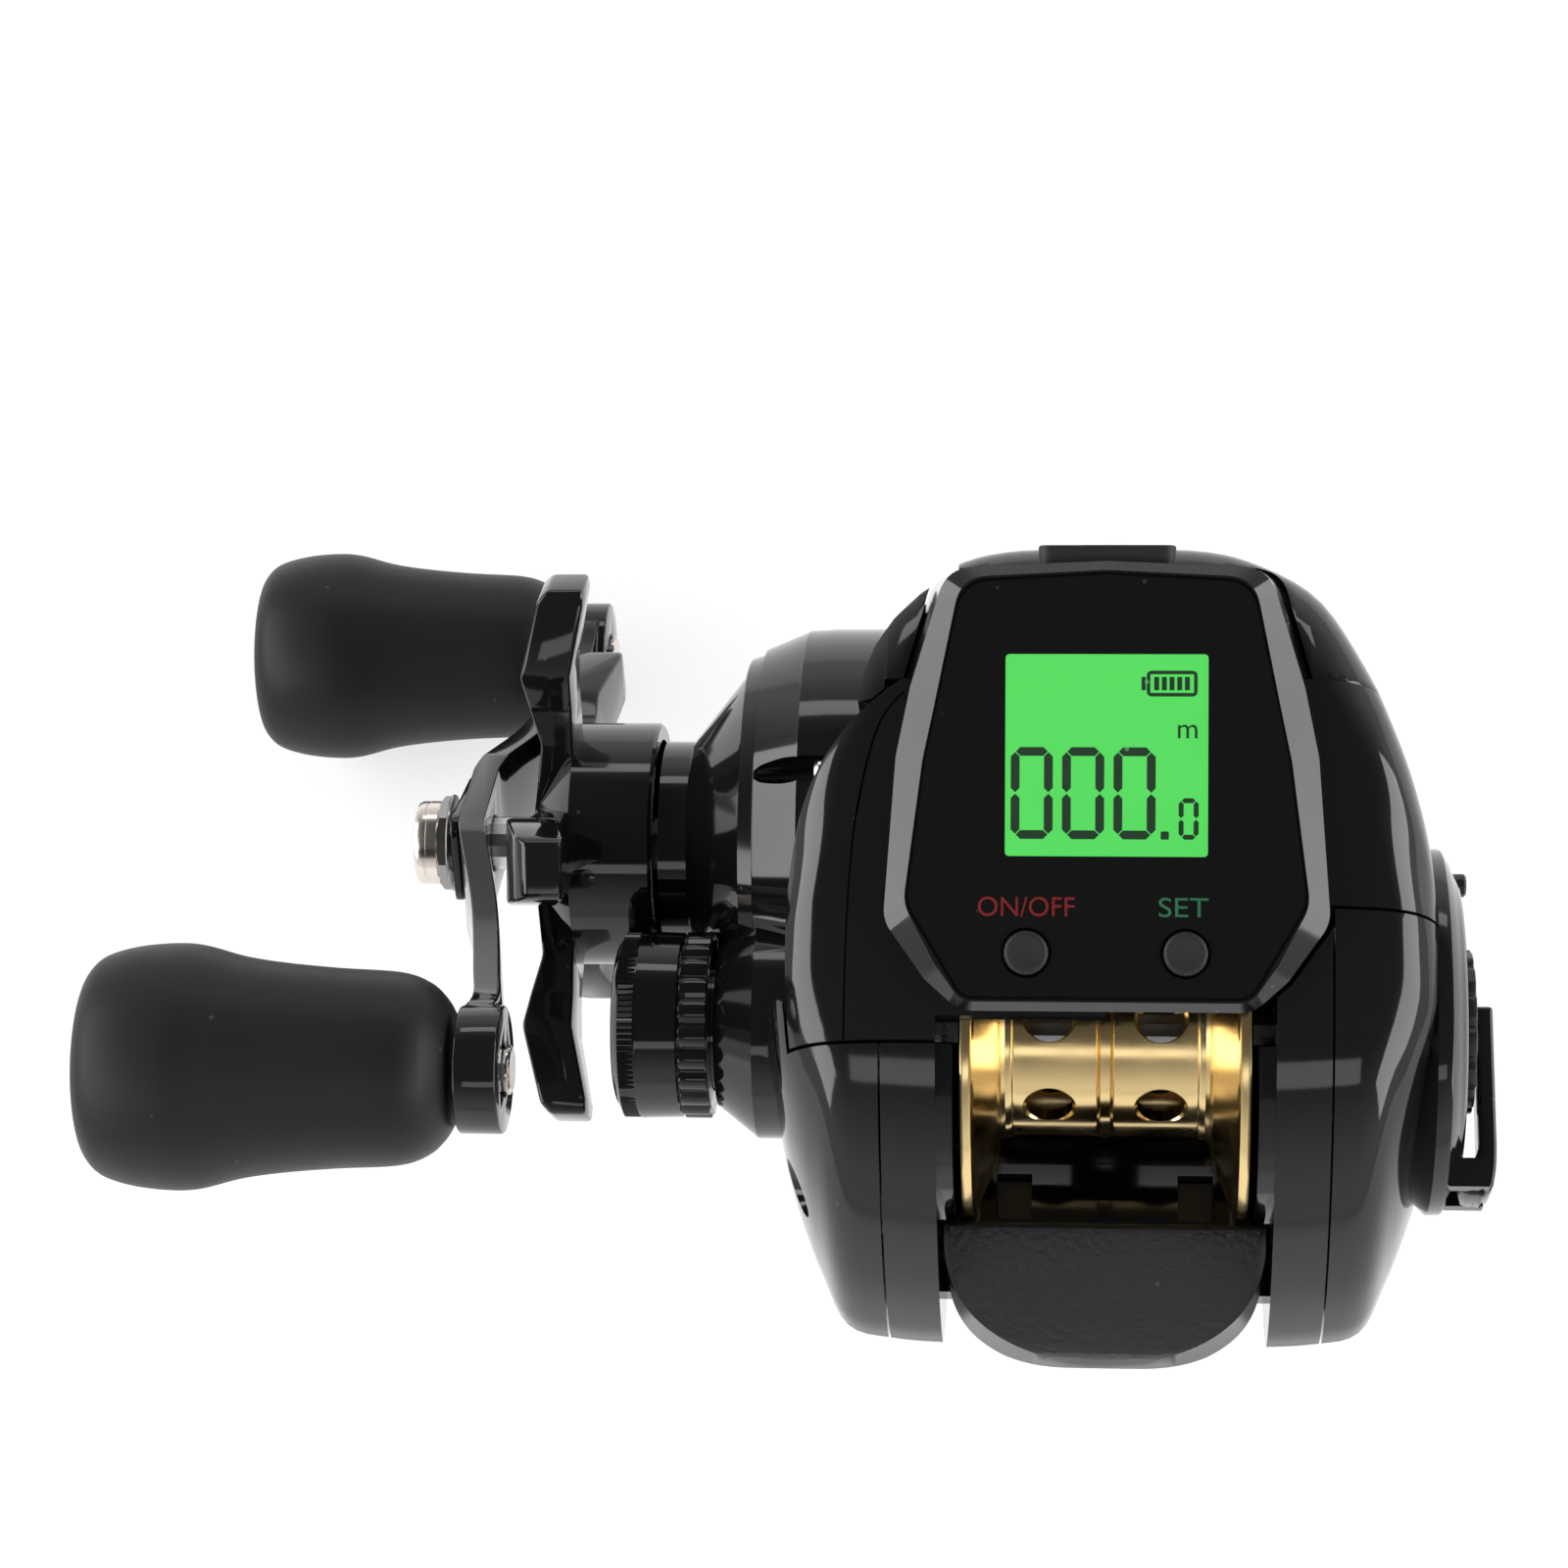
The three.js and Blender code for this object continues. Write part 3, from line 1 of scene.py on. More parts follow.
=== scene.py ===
import json
from itertools import accumulate
from math import atan2, cos, degrees, hypot, pi, radians, sin
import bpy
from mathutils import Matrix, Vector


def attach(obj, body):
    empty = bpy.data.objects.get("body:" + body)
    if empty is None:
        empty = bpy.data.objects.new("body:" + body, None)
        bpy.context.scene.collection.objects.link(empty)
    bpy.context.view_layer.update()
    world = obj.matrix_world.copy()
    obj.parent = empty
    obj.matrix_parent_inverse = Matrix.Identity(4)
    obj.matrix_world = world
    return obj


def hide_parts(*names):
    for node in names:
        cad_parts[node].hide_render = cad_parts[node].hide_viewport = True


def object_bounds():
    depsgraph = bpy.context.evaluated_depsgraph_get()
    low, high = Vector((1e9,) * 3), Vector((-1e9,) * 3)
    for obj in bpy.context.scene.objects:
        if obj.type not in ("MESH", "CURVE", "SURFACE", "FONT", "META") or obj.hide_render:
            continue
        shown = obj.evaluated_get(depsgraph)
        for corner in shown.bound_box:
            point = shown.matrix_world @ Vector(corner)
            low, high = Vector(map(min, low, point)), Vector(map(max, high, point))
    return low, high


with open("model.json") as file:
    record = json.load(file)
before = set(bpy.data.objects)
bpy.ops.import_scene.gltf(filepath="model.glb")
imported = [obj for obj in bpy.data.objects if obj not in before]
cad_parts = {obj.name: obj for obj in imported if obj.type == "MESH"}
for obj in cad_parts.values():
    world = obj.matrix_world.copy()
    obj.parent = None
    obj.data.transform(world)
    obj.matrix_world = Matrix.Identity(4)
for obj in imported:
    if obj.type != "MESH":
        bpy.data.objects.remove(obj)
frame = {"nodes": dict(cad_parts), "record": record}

from types import SimpleNamespace

import bpy
from bpy.props import FloatProperty, FloatVectorProperty, IntProperty, PointerProperty
from bpy.types import Operator, Panel, PropertyGroup
from mathutils import Matrix, Vector

bl_info = {
    "name": "Baitcasting Reel with Line Counter",
    "version": (1, 0, 0),
    "blender": (4, 5, 0),
    "location": "View3D > Sidebar > Reel",
    "description": "Models the skins, trim and finishes of a low-profile reel over its CAD frame",
    "category": "Object",
}

# Every size below is in millimetres; MM turns it into Blender's metres.
# +X runs along the spool to the palm side, +Y to the rod tip and +Z up.
MM = 0.001
GAP = 0.3  # clear space between neighbouring pieces
SEAT = 0.2  # play round a piece that sits in a bore or a pocket
OVERRUN = 2.0  # how far a cut runs past the face that it opens
WALL = 1.8  # thickness of the hollow shells
FAR = 120.0  # farther out than any piece
FOLD = 3e-6  # most that a bevel may fold the faces beside it, in square metres

CAD_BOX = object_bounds()

# Axes along X, each as its place along Y and its height
AXES = {"spool": (-5, 26), "crank": (15.3, 20), "worm": (23, 13.8), "guide_rod": (23, 33)}

# Stations outwards from the frame on the handle side, each as its step from the one before
STATION_STEPS = {
    "cover": 20.2, "gears": 1, "main_gear": 3.4, "drag": 1.9, "cone": 7.7, "neck": 5.7, "boss_end": 2.7,
    "star_hub": 0.5, "star_arms": 8.8, "arm_hub": 1.1, "arm": 6.7,
}
STATION = dict(zip(STATION_STEPS, accumulate(STATION_STEPS.values())))

# Middle of the rear knob, measured from the crank's axis
ARM_Y, ARM_Z = -31.4, 27.9
ARM_REACH = hypot(ARM_Y, ARM_Z)
ARM_ANGLE = degrees(atan2(ARM_Z, ARM_Y))

# The palm cover's round plate, with the peg near its front edge and the lever near its rear edge
PLATE_RADIUS = 17
PEG_AXIS = (AXES["spool"][0] + PLATE_RADIUS - 2.6, AXES["spool"][1])
LEVER_Y = AXES["spool"][0] - PLATE_RADIUS + 2.4
LEVER_OUT = 3  # from the palm side out to the lever's axis

# Bottom and top of the ink on the screen, measured from the counter's face
INK = (-0.29, -0.24)
BUTTON_Y = 5.2  # from the rear edge of the counter's face to the buttons


# Properties


def length(name, description, value):
    return FloatProperty(
        name=name, description=description, default=value * MM, min=0, subtype="DISTANCE", unit="LENGTH"
    )


def place(name, description, value):
    return FloatProperty(name=name, description=description, default=value * MM, subtype="DISTANCE", unit="LENGTH")


def count(name, description, value):
    return IntProperty(name=name, description=description, default=value, min=3)


def colour(name, description, value):
    return FloatVectorProperty(
        name=name, description=description, default=value, size=3, min=0, max=1, subtype="COLOR"
    )


class BodySizes(PropertyGroup):
    gear_width: length("Gear side width", "Middle of the spool to the gear side", 30.8)
    palm_width: length("Palm side width", "Middle of the spool to the palm side", 30.4)
    nose: length("Nose", "Foot's middle to the front end", 37.5)
    tail: length("Tail", "Foot's middle to the rear end", 32.6)
    bottom: place("Bottom", "Height of the underside", 4)
    top: place("Top", "Height of the shoulders", 48.5)
    middle: place("Middle", "Height at which the sides are fullest", 26)
    waist: place("Waist", "Place along Y of the widest section", -9)
    frame_inner: length("Frame inner face", "Middle to the inner face of a frame wall", 15.1)
    frame_outer: length("Frame outer face", "Middle to the outer face of a frame wall", 20)
    nose_seam: place("Nose seam", "Place along Y of the seam behind the nose", 21.3)
    deck_seam: place("Deck seam", "Height of the seam under the shoulders", 36)
    gear_seam: place("Gear shoulder seam", "Place along Y where the gear shoulder ends", -12.1)
    palm_seam: place("Palm shoulder seam", "Place along Y where the palm shoulder ends", -0.3)


class CounterSizes(PropertyGroup):
    half_width: length("Half width", "Half of the counter block's width", 19.3)
    length: length("Length", "Length of the counter's face", 39.8)
    depth: length("Depth", "How deep the block reaches", 20)
    lip: length("Lip", "Depth of the bevel round the face", 1.3)
    screen: length("Screen", "Side of the square screen", 18.2)
    button: length("Button radius", "Radius of a push button", 1.95)
    button_x: length("Button place", "Middle to a push button", 7)
    digit: length("Digit height", "Height of a large digit", 8.1)


class SpoolSizes(PropertyGroup):
    flange: length("Flange radius", "Radius of the spool's flanges", 18.5)
    half_width: length("Half width", "Half of the spool's width", 13.1)
    hub: length("Hub radius", "Radius of the drum", 10)
    dish: length("Dish", "How far a flange leans outwards", 3.5)
    hole: length("Hole radius", "Radius of a hole in the drum", 2.15)
    holes: count("Holes", "Holes round each half of the drum", 7)


class CrankSizes(PropertyGroup):
    knob: length("Knob radius", "Radius of a handle knob", 11)
    knob_length: length("Knob length", "Length of a handle knob", 32.7)
    hub: length("Arm hub", "Radius of the handle arm's round ends", 5.7)
    arm_width: length("Arm half width", "Half width of the handle arm at its middle", 5.6)
    star_reach: length("Star reach", "Radius to the tips of the star wheel", 27.1)
    star_hub: length("Star hub", "Radius of the star wheel's hub", 11.8)
    cap: length("Cap radius", "Radius of the cast control cap", 8.8)


class Finishes(PropertyGroup):
    gloss: colour("Gloss plastic", "Covers, counter housing and star wheel", (0.0065, 0.0065, 0.0072))
    satin: colour("Satin plastic", "Frame, foot and thumb bar", (0.011, 0.011, 0.012))
    rubber: colour("Rubber", "Knobs, buttons and port cover", (0.0135, 0.014, 0.0145))
    gold: colour("Gold", "Anodised spool", (0.80, 0.60, 0.29))
    nickel: colour("Nickel", "Nut and screws", (0.76, 0.69, 0.63))
    screen: colour("Screen", "Backlight of the screen", (0.095, 0.72, 0.115))
    ink: colour("Screen ink", "Digits on the screen", (0.012, 0.035, 0.016))
    red: colour("Red print", "Legend of the power button", (0.16, 0.006, 0.006))
    green: colour("Green print", "Legend of the other button", (0.02, 0.12, 0.052))


def in_mm(group):
    """The values of a property group as plain numbers, lengths in millimetres"""
    values = {}
    for name in group.__annotations__:
        value = getattr(group, name)
        values[name] = round(value / MM, 6) if isinstance(value, float) else value
    return SimpleNamespace(**values)


# Modelling helpers


def deselect():
    if bpy.context.mode != "OBJECT":
        bpy.ops.object.mode_set(mode="OBJECT")
    bpy.ops.object.select_all(action="DESELECT")


def pick(obj):
    deselect()
    obj.select_set(True)
    bpy.context.view_layer.objects.active = obj


def remove(obj):
    bpy.data.objects.remove(obj, do_unlink=True)


def place_in_mesh(obj):
    """Takes an object's place, turn and scale into its mesh"""
    pick(obj)
    bpy.ops.object.transform_apply(location=True, rotation=True, scale=True)
    return obj


def moved(obj, matrix):
    """Moves a piece by a matrix in millimetres and keeps its place in its mesh"""
    metres = matrix.copy()
    metres.translation = matrix.translation * MM
    obj.matrix_world = metres @ obj.matrix_world
    return place_in_mesh(obj)


def on_end(x, y, turn=-90):
    """Stands a piece turned about the X axis on its end, at x, y"""
    return Matrix.Translation((x, y, 0)) @ Matrix.Rotation(radians(turn), 4, "Y")


def copied(obj, name):
    twin = obj.copy()
    twin.data = obj.data.copy()
    twin.name = name
    bpy.context.collection.objects.link(twin)
    return twin


def tidy(obj, merge=0.002):
    """Merges doubles and turns every face outwards"""
    pick(obj)
    bpy.ops.object.mode_set(mode="EDIT")
    bpy.ops.mesh.select_all(action="SELECT")
    bpy.ops.mesh.remove_doubles(threshold=merge * MM)
    bpy.ops.mesh.normals_make_consistent(inside=False)
    bpy.ops.object.mode_set(mode="OBJECT")
    return obj


def trace(name, points):
    """A chain of edges through the points, extruded from one vertex and left in edit mode"""
    deselect()
    start = Vector(points[0]) * MM
    bpy.ops.mesh.primitive_plane_add(size=MM, location=start)
    obj = bpy.context.object
    obj.name = name
    place_in_mesh(obj)
    bpy.ops.object.mode_set(mode="EDIT")
    bpy.ops.mesh.select_all(action="SELECT")
    bpy.ops.mesh.merge(type="CENTER")
    for before, after in zip(points, points[1:]):
        step = (Vector(after) - Vector(before)) * MM
        bpy.ops.mesh.extrude_region_move(TRANSFORM_OT_translate={"value": step})
    return obj


def turned(name, profile, axis, segments=96):
    """A profile of (x, radius) pairs spun about an axis along X"""
    y, z = axis
    closed = profile if profile[0][1] == 0 and profile[-1][1] == 0 else [*profile, profile[0]]
    obj = trace(name, [(x, y, z + r) for x, r in closed])
    bpy.ops.mesh.select_all(action="SELECT")
    bpy.ops.mesh.spin(steps=segments, angle=2 * pi, center=(0, y * MM, z * MM), axis=(1, 0, 0))
    bpy.ops.object.mode_set(mode="OBJECT")
    return tidy(obj)


ALONG = {
    "X": lambda a, b, c: (c, a, b),
    "Y": lambda a, b, c: (a, c, b),
    "Z": lambda a, b, c: (a, b, c),
}


def prism(name, outline, low, high, along="X"):
    """A closed outline, filled and extruded along an axis"""
    at = ALONG[along]
    obj = trace(name, [at(a, b, low) for a, b in outline])
    bpy.ops.mesh.select_all(action="SELECT")
    bpy.ops.mesh.edge_face_add()
    bpy.ops.mesh.extrude_region_move(
        TRANSFORM_OT_translate={"value": Vector(at(0, 0, high - low)) * MM}
    )
    bpy.ops.object.mode_set(mode="OBJECT")
    return tidy(obj)


def rod(name, axis, x0, x1, radius, segments=64):
    """A cylinder along X"""
    deselect()
    bpy.ops.mesh.primitive_cylinder_add(
        vertices=segments, radius=radius * MM, depth=abs(x1 - x0) * MM,
        location=((x0 + x1) / 2 * MM, axis[0] * MM, axis[1] * MM), rotation=(0, radians(90), 0),
    )
    bpy.context.object.name = name
    return place_in_mesh(bpy.context.object)


def post(name, x, y, z0, z1, radius, segments=48):
    """An upright cylinder"""
    deselect()
    bpy.ops.mesh.primitive_cylinder_add(
        vertices=segments, radius=radius * MM, depth=abs(z1 - z0) * MM,
        location=(x * MM, y * MM, (z0 + z1) / 2 * MM),
    )
    bpy.context.object.name = name
    return place_in_mesh(bpy.context.object)


def block(name, xs, ys, zs):
    deselect()
    low = Vector((xs[0], ys[0], zs[0])) * MM
    high = Vector((xs[1], ys[1], zs[1])) * MM
    bpy.ops.mesh.primitive_cube_add(size=1, location=(low + high) / 2, scale=high - low)
    bpy.context.object.name = name
    return place_in_mesh(bpy.context.object)


def loft(name, rings):
    """A closed skin over rings of equally many points: a grid whose rows take the rings' places"""
    across = len(rings[0])
    deselect()
    bpy.ops.mesh.primitive_grid_add(x_subdivisions=across, y_subdivisions=len(rings) - 1, size=1)
    obj = bpy.context.object
    obj.name = name
    for row, points in enumerate(rings):
        for i in range(across + 1):
            obj.data.vertices[row * (across + 1) + i].co = Vector(points[i % across]) * MM
    bpy.ops.object.mode_set(mode="EDIT")
    bpy.ops.mesh.select_all(action="SELECT")
    bpy.ops.mesh.remove_doubles(threshold=0.0005 * MM)
    bpy.ops.mesh.fill_holes(sides=0)
    bpy.ops.object.mode_set(mode="OBJECT")
    return tidy(obj, 0.0005)


def together(objs):
    """Several loose pieces as one object"""
    deselect()
    for obj in objs:
        obj.select_set(True)
    bpy.context.view_layer.objects.active = objs[0]
    bpy.ops.object.join()
    return objs[0]


def combine(obj, operation, others):
    """Works the others into a piece one by one, and deletes them"""
    for other in others:
        boolean = obj.modifiers.new("Boolean", "BOOLEAN")
        boolean.operation = operation
        boolean.solver = "MANIFOLD"
        boolean.object = other
        pick(obj)
        bpy.ops.object.modifier_apply(modifier=boolean.name)
        remove(other)
    return obj


def cut(obj, *tools):
    return combine(obj, "DIFFERENCE", tools)


def join(obj, *others):
    return combine(obj, "UNION", others)


def common(obj, *others):
    return combine(obj, "INTERSECT", others)


def folded(obj):
    """The area, in square metres, by which a piece's faces lie over themselves"""
    mesh = obj.data
    mesh.calc_loop_triangles()
    return sum(t.area for t in mesh.loop_triangles) - sum(p.area for p in mesh.polygons)


def opened(obj):
    """How many of a piece's edges don't lie between two faces"""
    counts = {}
    for polygon in obj.data.polygons:
        for key in polygon.edge_keys:
            counts[key] = counts.get(key, 0) + 1
    return sum(n != 2 for n in counts.values())


def bevelled(obj, width, segments=2, angle=35):
    """Bevels the sharp edges, as widely as leaves the piece closed and its faces unfolded"""
    tidy(obj, 0.01)
    sharp = obj.data
    for share in (1, 0.6, 0.35):
        obj.data = sharp.copy()
        bevel = obj.modifiers.new("Bevel", "BEVEL")
        bevel.width = width * share * MM
        bevel.segments = segments
        bevel.limit_method = "ANGLE"
        bevel.angle_limit = radians(angle)
        bevel.use_clamp_overlap = False
        bevel.loop_slide = False
        bevel.miter_outer = "MITER_ARC"
        pick(obj)
        bpy.ops.object.modifier_apply(modifier=bevel.name)
        if folded(obj) < FOLD and not opened(obj):
            return obj
    obj.data = sharp
    return obj


def finish(obj, body, look, slot, *nodes, angle=32):
    """Shades a piece, gives it its finish and body, and lets it stand for its CAD nodes"""
    pick(obj)
    bpy.ops.object.shade_smooth_by_angle(angle=radians(angle))
    obj.data.materials.clear()
    obj.data.materials.append(FINISH[look])
    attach(obj, body)
    if nodes:
        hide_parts(*nodes)
    return obj


# Outlines


def smooth(points, steps):
    """Points along a curve that runs smoothly through the given ones"""
    last = len(points) - 1
    out = []
    for k in range(steps + 1):
        along = last * k / steps
        i = min(int(along), last - 1)
        t = along - i
        p0, p1, p2, p3 = (points[max(0, min(last, i + j))] for j in (-1, 0, 1, 2))
        out.append(tuple(
            b + (c - a) / 2 * t
            + (3 * (c - b) - (c - a) - (d - b) / 2) * t * t
            + (2 * (b - c) + (c - a) / 2 + (d - b) / 2) * t ** 3
            for a, b, c, d in zip(p0, p1, p2, p3)
        ))
    return out


def rounded(corners, steps=6):
    """An outline whose corners (a, b, radius) are rounded"""
    out = []
    many = len(corners)
    for i, corner in enumerate(corners):
        here = Vector(corner[:2])
        radius = corner[2] if len(corner) > 2 else 0
        if not radius:
            out.append(tuple(here))
            continue
        before = (Vector(corners[i - 1][:2]) - here).normalized()
        after = (Vector(corners[(i + 1) % many][:2]) - here).normalized()
        start = here + before * radius
        end = here + after * radius
        for k in range(steps + 1):
            t = k / steps
            out.append(tuple(start.lerp(here, t).lerp(here.lerp(end, t), t)))
    return out


def box(a0, b0, a1, b1, radius):
    """The outline of a rectangle with rounded corners"""
    return rounded([(a0, b0, radius), (a1, b0, radius), (a1, b1, radius), (a0, b1, radius)])


def mirrored(half):
    """A half outline from the middle line and back to it, with its mirror image"""
    return [*half, *[(-a, b) for a, b in reversed(half) if abs(a) > 1e-6]]


def wavy(radii, axis):
    """An outline round an axis, with a radius for each of its evenly turned points"""
    turns = [2 * pi * i / len(radii) for i in range(len(radii))]
    return [(axis[0] + r * cos(turn), axis[1] + r * sin(turn)) for r, turn in zip(radii, turns)]


# Finishes


def node_group(name, vectors, numbers, outputs):
    """A node group with its vector inputs, its number inputs and its outputs, which are numbers"""
    tree = bpy.data.node_groups.new(name, "ShaderNodeTree")
    for label in vectors:
        tree.interface.new_socket(label, in_out="INPUT", socket_type="NodeSocketVector")
    for label, value in numbers.items():
        tree.interface.new_socket(label, in_out="INPUT", socket_type="NodeSocketFloat").default_value = value
    for label in outputs:
        tree.interface.new_socket(label, in_out="OUTPUT", socket_type="NodeSocketFloat")
    start = tree.nodes.new("NodeGroupInput")
    end = tree.nodes.new("NodeGroupOutput")
    return tree, start.outputs, end.inputs


def add(tree, kind, links=(), **values):
    """Adds a node, sets its values and links sockets into it as (input, socket) pairs"""
    node = tree.nodes.new(kind)
    for key, value in values.items():
        if hasattr(node, key):
            setattr(node, key, value)
        else:
            node.inputs[key.replace("_", " ")].default_value = value
    for key, socket in links:
        tree.links.new(socket, node.inputs[key])
    return node


def moulded_grain():
    """Soft smudges, a fine grain and a few specks of dust on a moulded face"""
    tree, given, made = node_group(
        "Moulded Grain", ["Vector"], {"Smudge Scale": 60.0, "Grain Scale": 1500.0, "Dust": 0.3},
        ["Smudge", "Grain", "Dust"],
    )
    vector = ("Vector", given["Vector"])
    smudge = add(tree, "ShaderNodeTexNoise", [vector, ("Scale", given["Smudge Scale"])], Detail=4.0)
    grain = add(tree, "ShaderNodeTexNoise", [vector, ("Scale", given["Grain Scale"])], Detail=3.0)
    cells = add(tree, "ShaderNodeTexVoronoi", [vector], Scale=620.0)
    near = add(tree, "ShaderNodeMath", [(0, cells.outputs["Distance"])], operation="LESS_THAN")
    near.inputs[1].default_value = 0.13
    tone = add(tree, "ShaderNodeSeparateColor", [("Color", cells.outputs["Color"])])
    few = add(tree, "ShaderNodeMath", [(0, tone.outputs[0]), (1, given["Dust"])], operation="LESS_THAN")
    dust = add(tree, "ShaderNodeMath", [(0, near.outputs[0]), (1, few.outputs[0])], operation="MULTIPLY")
    tree.links.new(smudge.outputs["Fac"], made["Smudge"])
    tree.links.new(grain.outputs["Fac"], made["Grain"])
    tree.links.new(dust.outputs[0], made["Dust"])
    return tree


def turning_marks():
    """Fine rings that a lathe leaves round an axis along X"""
    tree, given, made = node_group("Turning Marks", ["Vector", "Axis"], {"Scale": 2600.0}, ["Marks", "Cloud"])
    local = add(tree, "ShaderNodeVectorMath", [(0, given["Vector"]), (1, given["Axis"])], operation="SUBTRACT")
    parts = add(tree, "ShaderNodeSeparateXYZ", [(0, local.outputs[0])])
    flat = add(tree, "ShaderNodeCombineXYZ", [("Y", parts.outputs["Y"]), ("Z", parts.outputs["Z"])])
    radius = add(tree, "ShaderNodeVectorMath", [(0, flat.outputs[0])], operation="LENGTH")
    ring = add(tree, "ShaderNodeCombineXYZ", [("X", parts.outputs["X"]), ("Y", radius.outputs["Value"])])
    marks = add(tree, "ShaderNodeTexNoise", [("Vector", ring.outputs[0]), ("Scale", given["Scale"])], Detail=2.0)
    cloud = add(tree, "ShaderNodeTexNoise", [("Vector", given["Vector"])], Scale=180.0, Detail=3.0)
    tree.links.new(marks.outputs["Fac"], made["Marks"])
    tree.links.new(cloud.outputs["Fac"], made["Cloud"])
    return tree


def group_node(tree, name, vector, **values):
    """Adds a node group by its name and returns its outputs"""
    node = tree.nodes.new("ShaderNodeGroup")
    node.node_tree = bpy.data.node_groups[name]
    for key, value in values.items():
        node.inputs[key.replace("_", " ")].default_value = value
    tree.links.new(vector, node.inputs["Vector"])
    return node.outputs


def blank(name, **shader_values):
    """A new material: its tree, its shader and the piece's Object coordinates"""
    material = bpy.data.materials.new(name)
    material.use_nodes = True
    tree = material.node_tree
    shader = tree.nodes["Principled BSDF"]
    for key, value in shader_values.items():
        shader.inputs[key.replace("_", " ")].default_value = value
    coordinates = tree.nodes.new("ShaderNodeTexCoord")
    return material, tree, shader, coordinates.outputs["Object"]


def ranged(tree, socket, low, high, start=0.3, stop=0.7):
    """A value between start and stop, spread from low to high"""
    node = add(tree, "ShaderNodeMapRange", [("Value", socket)])
    for index, value in ((1, start), (2, stop), (3, low), (4, high)):
        node.inputs[index].default_value = value
    return node.outputs[0]


def scaled(base, share):
    """A colour lightened or darkened"""
    return tuple(min(1, c * share) for c in base)


def mixed(tree, factor, first, second):
    """A socket whose colour lies between two others"""
    node = add(tree, "ShaderNodeMix", [("Factor", factor)], data_type="RGBA")
    node.inputs[6].default_value = (*first, 1)
    node.inputs[7].default_value = (*second, 1)
    return node.outputs[2]


def dress(tree, shader, tone, rough, height, bump, distance):
    """Gives a shader its colour, its roughness and a fine relief"""
    relief = add(tree, "ShaderNodeBump", [("Height", height)], Strength=bump, Distance=distance * MM)
    tree.links.new(tone, shader.inputs["Base Color"])
    tree.links.new(rough, shader.inputs["Roughness"])
    tree.links.new(relief.outputs["Normal"], shader.inputs["Normal"])


def moulded(name, base, rough, bump=0.05, distance=0.02, grain=1500.0, dust=0.2, dust_tone=6.0, **values):
    """Plastic or rubber: smudged roughness, a fine grain and a little dust"""
    material, tree, shader, vector = blank(name, **values)
    surface = group_node(tree, "Moulded Grain", vector, Grain_Scale=grain, Dust=dust)
    tone = mixed(tree, surface["Dust"], base, scaled(base, dust_tone))
    dress(tree, shader, tone, ranged(tree, surface["Smudge"], *rough), surface["Grain"], bump, distance)
    return material


def metal(name, base, rough, axis, bump=0.04):
    """Turned or polished metal with faint rings and clouds"""
    material, tree, shader, vector = blank(name, Metallic=1.0)
    surface = group_node(tree, "Turning Marks", vector, Axis=(0, axis[0] * MM, axis[1] * MM))
    tone = mixed(tree, surface["Cloud"], scaled(base, 0.9), scaled(base, 1.08))
    dress(tree, shader, tone, ranged(tree, surface["Cloud"], *rough), surface["Marks"], bump, 0.02)
    return material


def lit_screen(name, base):
    """A backlit screen, a little dimmer in soft patches"""
    material, tree, shader, vector = blank(name, Emission_Strength=1.0)
    surface = group_node(tree, "Moulded Grain", vector, Smudge_Scale=90.0)
    shader.inputs["Base Color"].default_value = (0.01, 0.04, 0.012, 1)
    tree.links.new(mixed(tree, surface["Smudge"], scaled(base, 0.9), base), shader.inputs["Emission Color"])
    tree.links.new(ranged(tree, surface["Smudge"], 0.12, 0.2), shader.inputs["Roughness"])
    return material


def circuit(name):
    """Green solder mask with pale tracks"""
    material, tree, shader, vector = blank(name)
    tracks = add(tree, "ShaderNodeTexBrick", [("Vector", vector)], Scale=420.0)
    tracks.inputs["Color1"].default_value = (0.010, 0.085, 0.030, 1)
    tracks.inputs["Color2"].default_value = (0.012, 0.110, 0.040, 1)
    tracks.inputs["Mortar"].default_value = (0.060, 0.240, 0.090, 1)
    surface = group_node(tree, "Moulded Grain", vector)
    tree.links.new(tracks.outputs["Color"], shader.inputs["Base Color"])
    tree.links.new(ranged(tree, surface["Smudge"], 0.3, 0.45), shader.inputs["Roughness"])
    return material


FINISH = {}


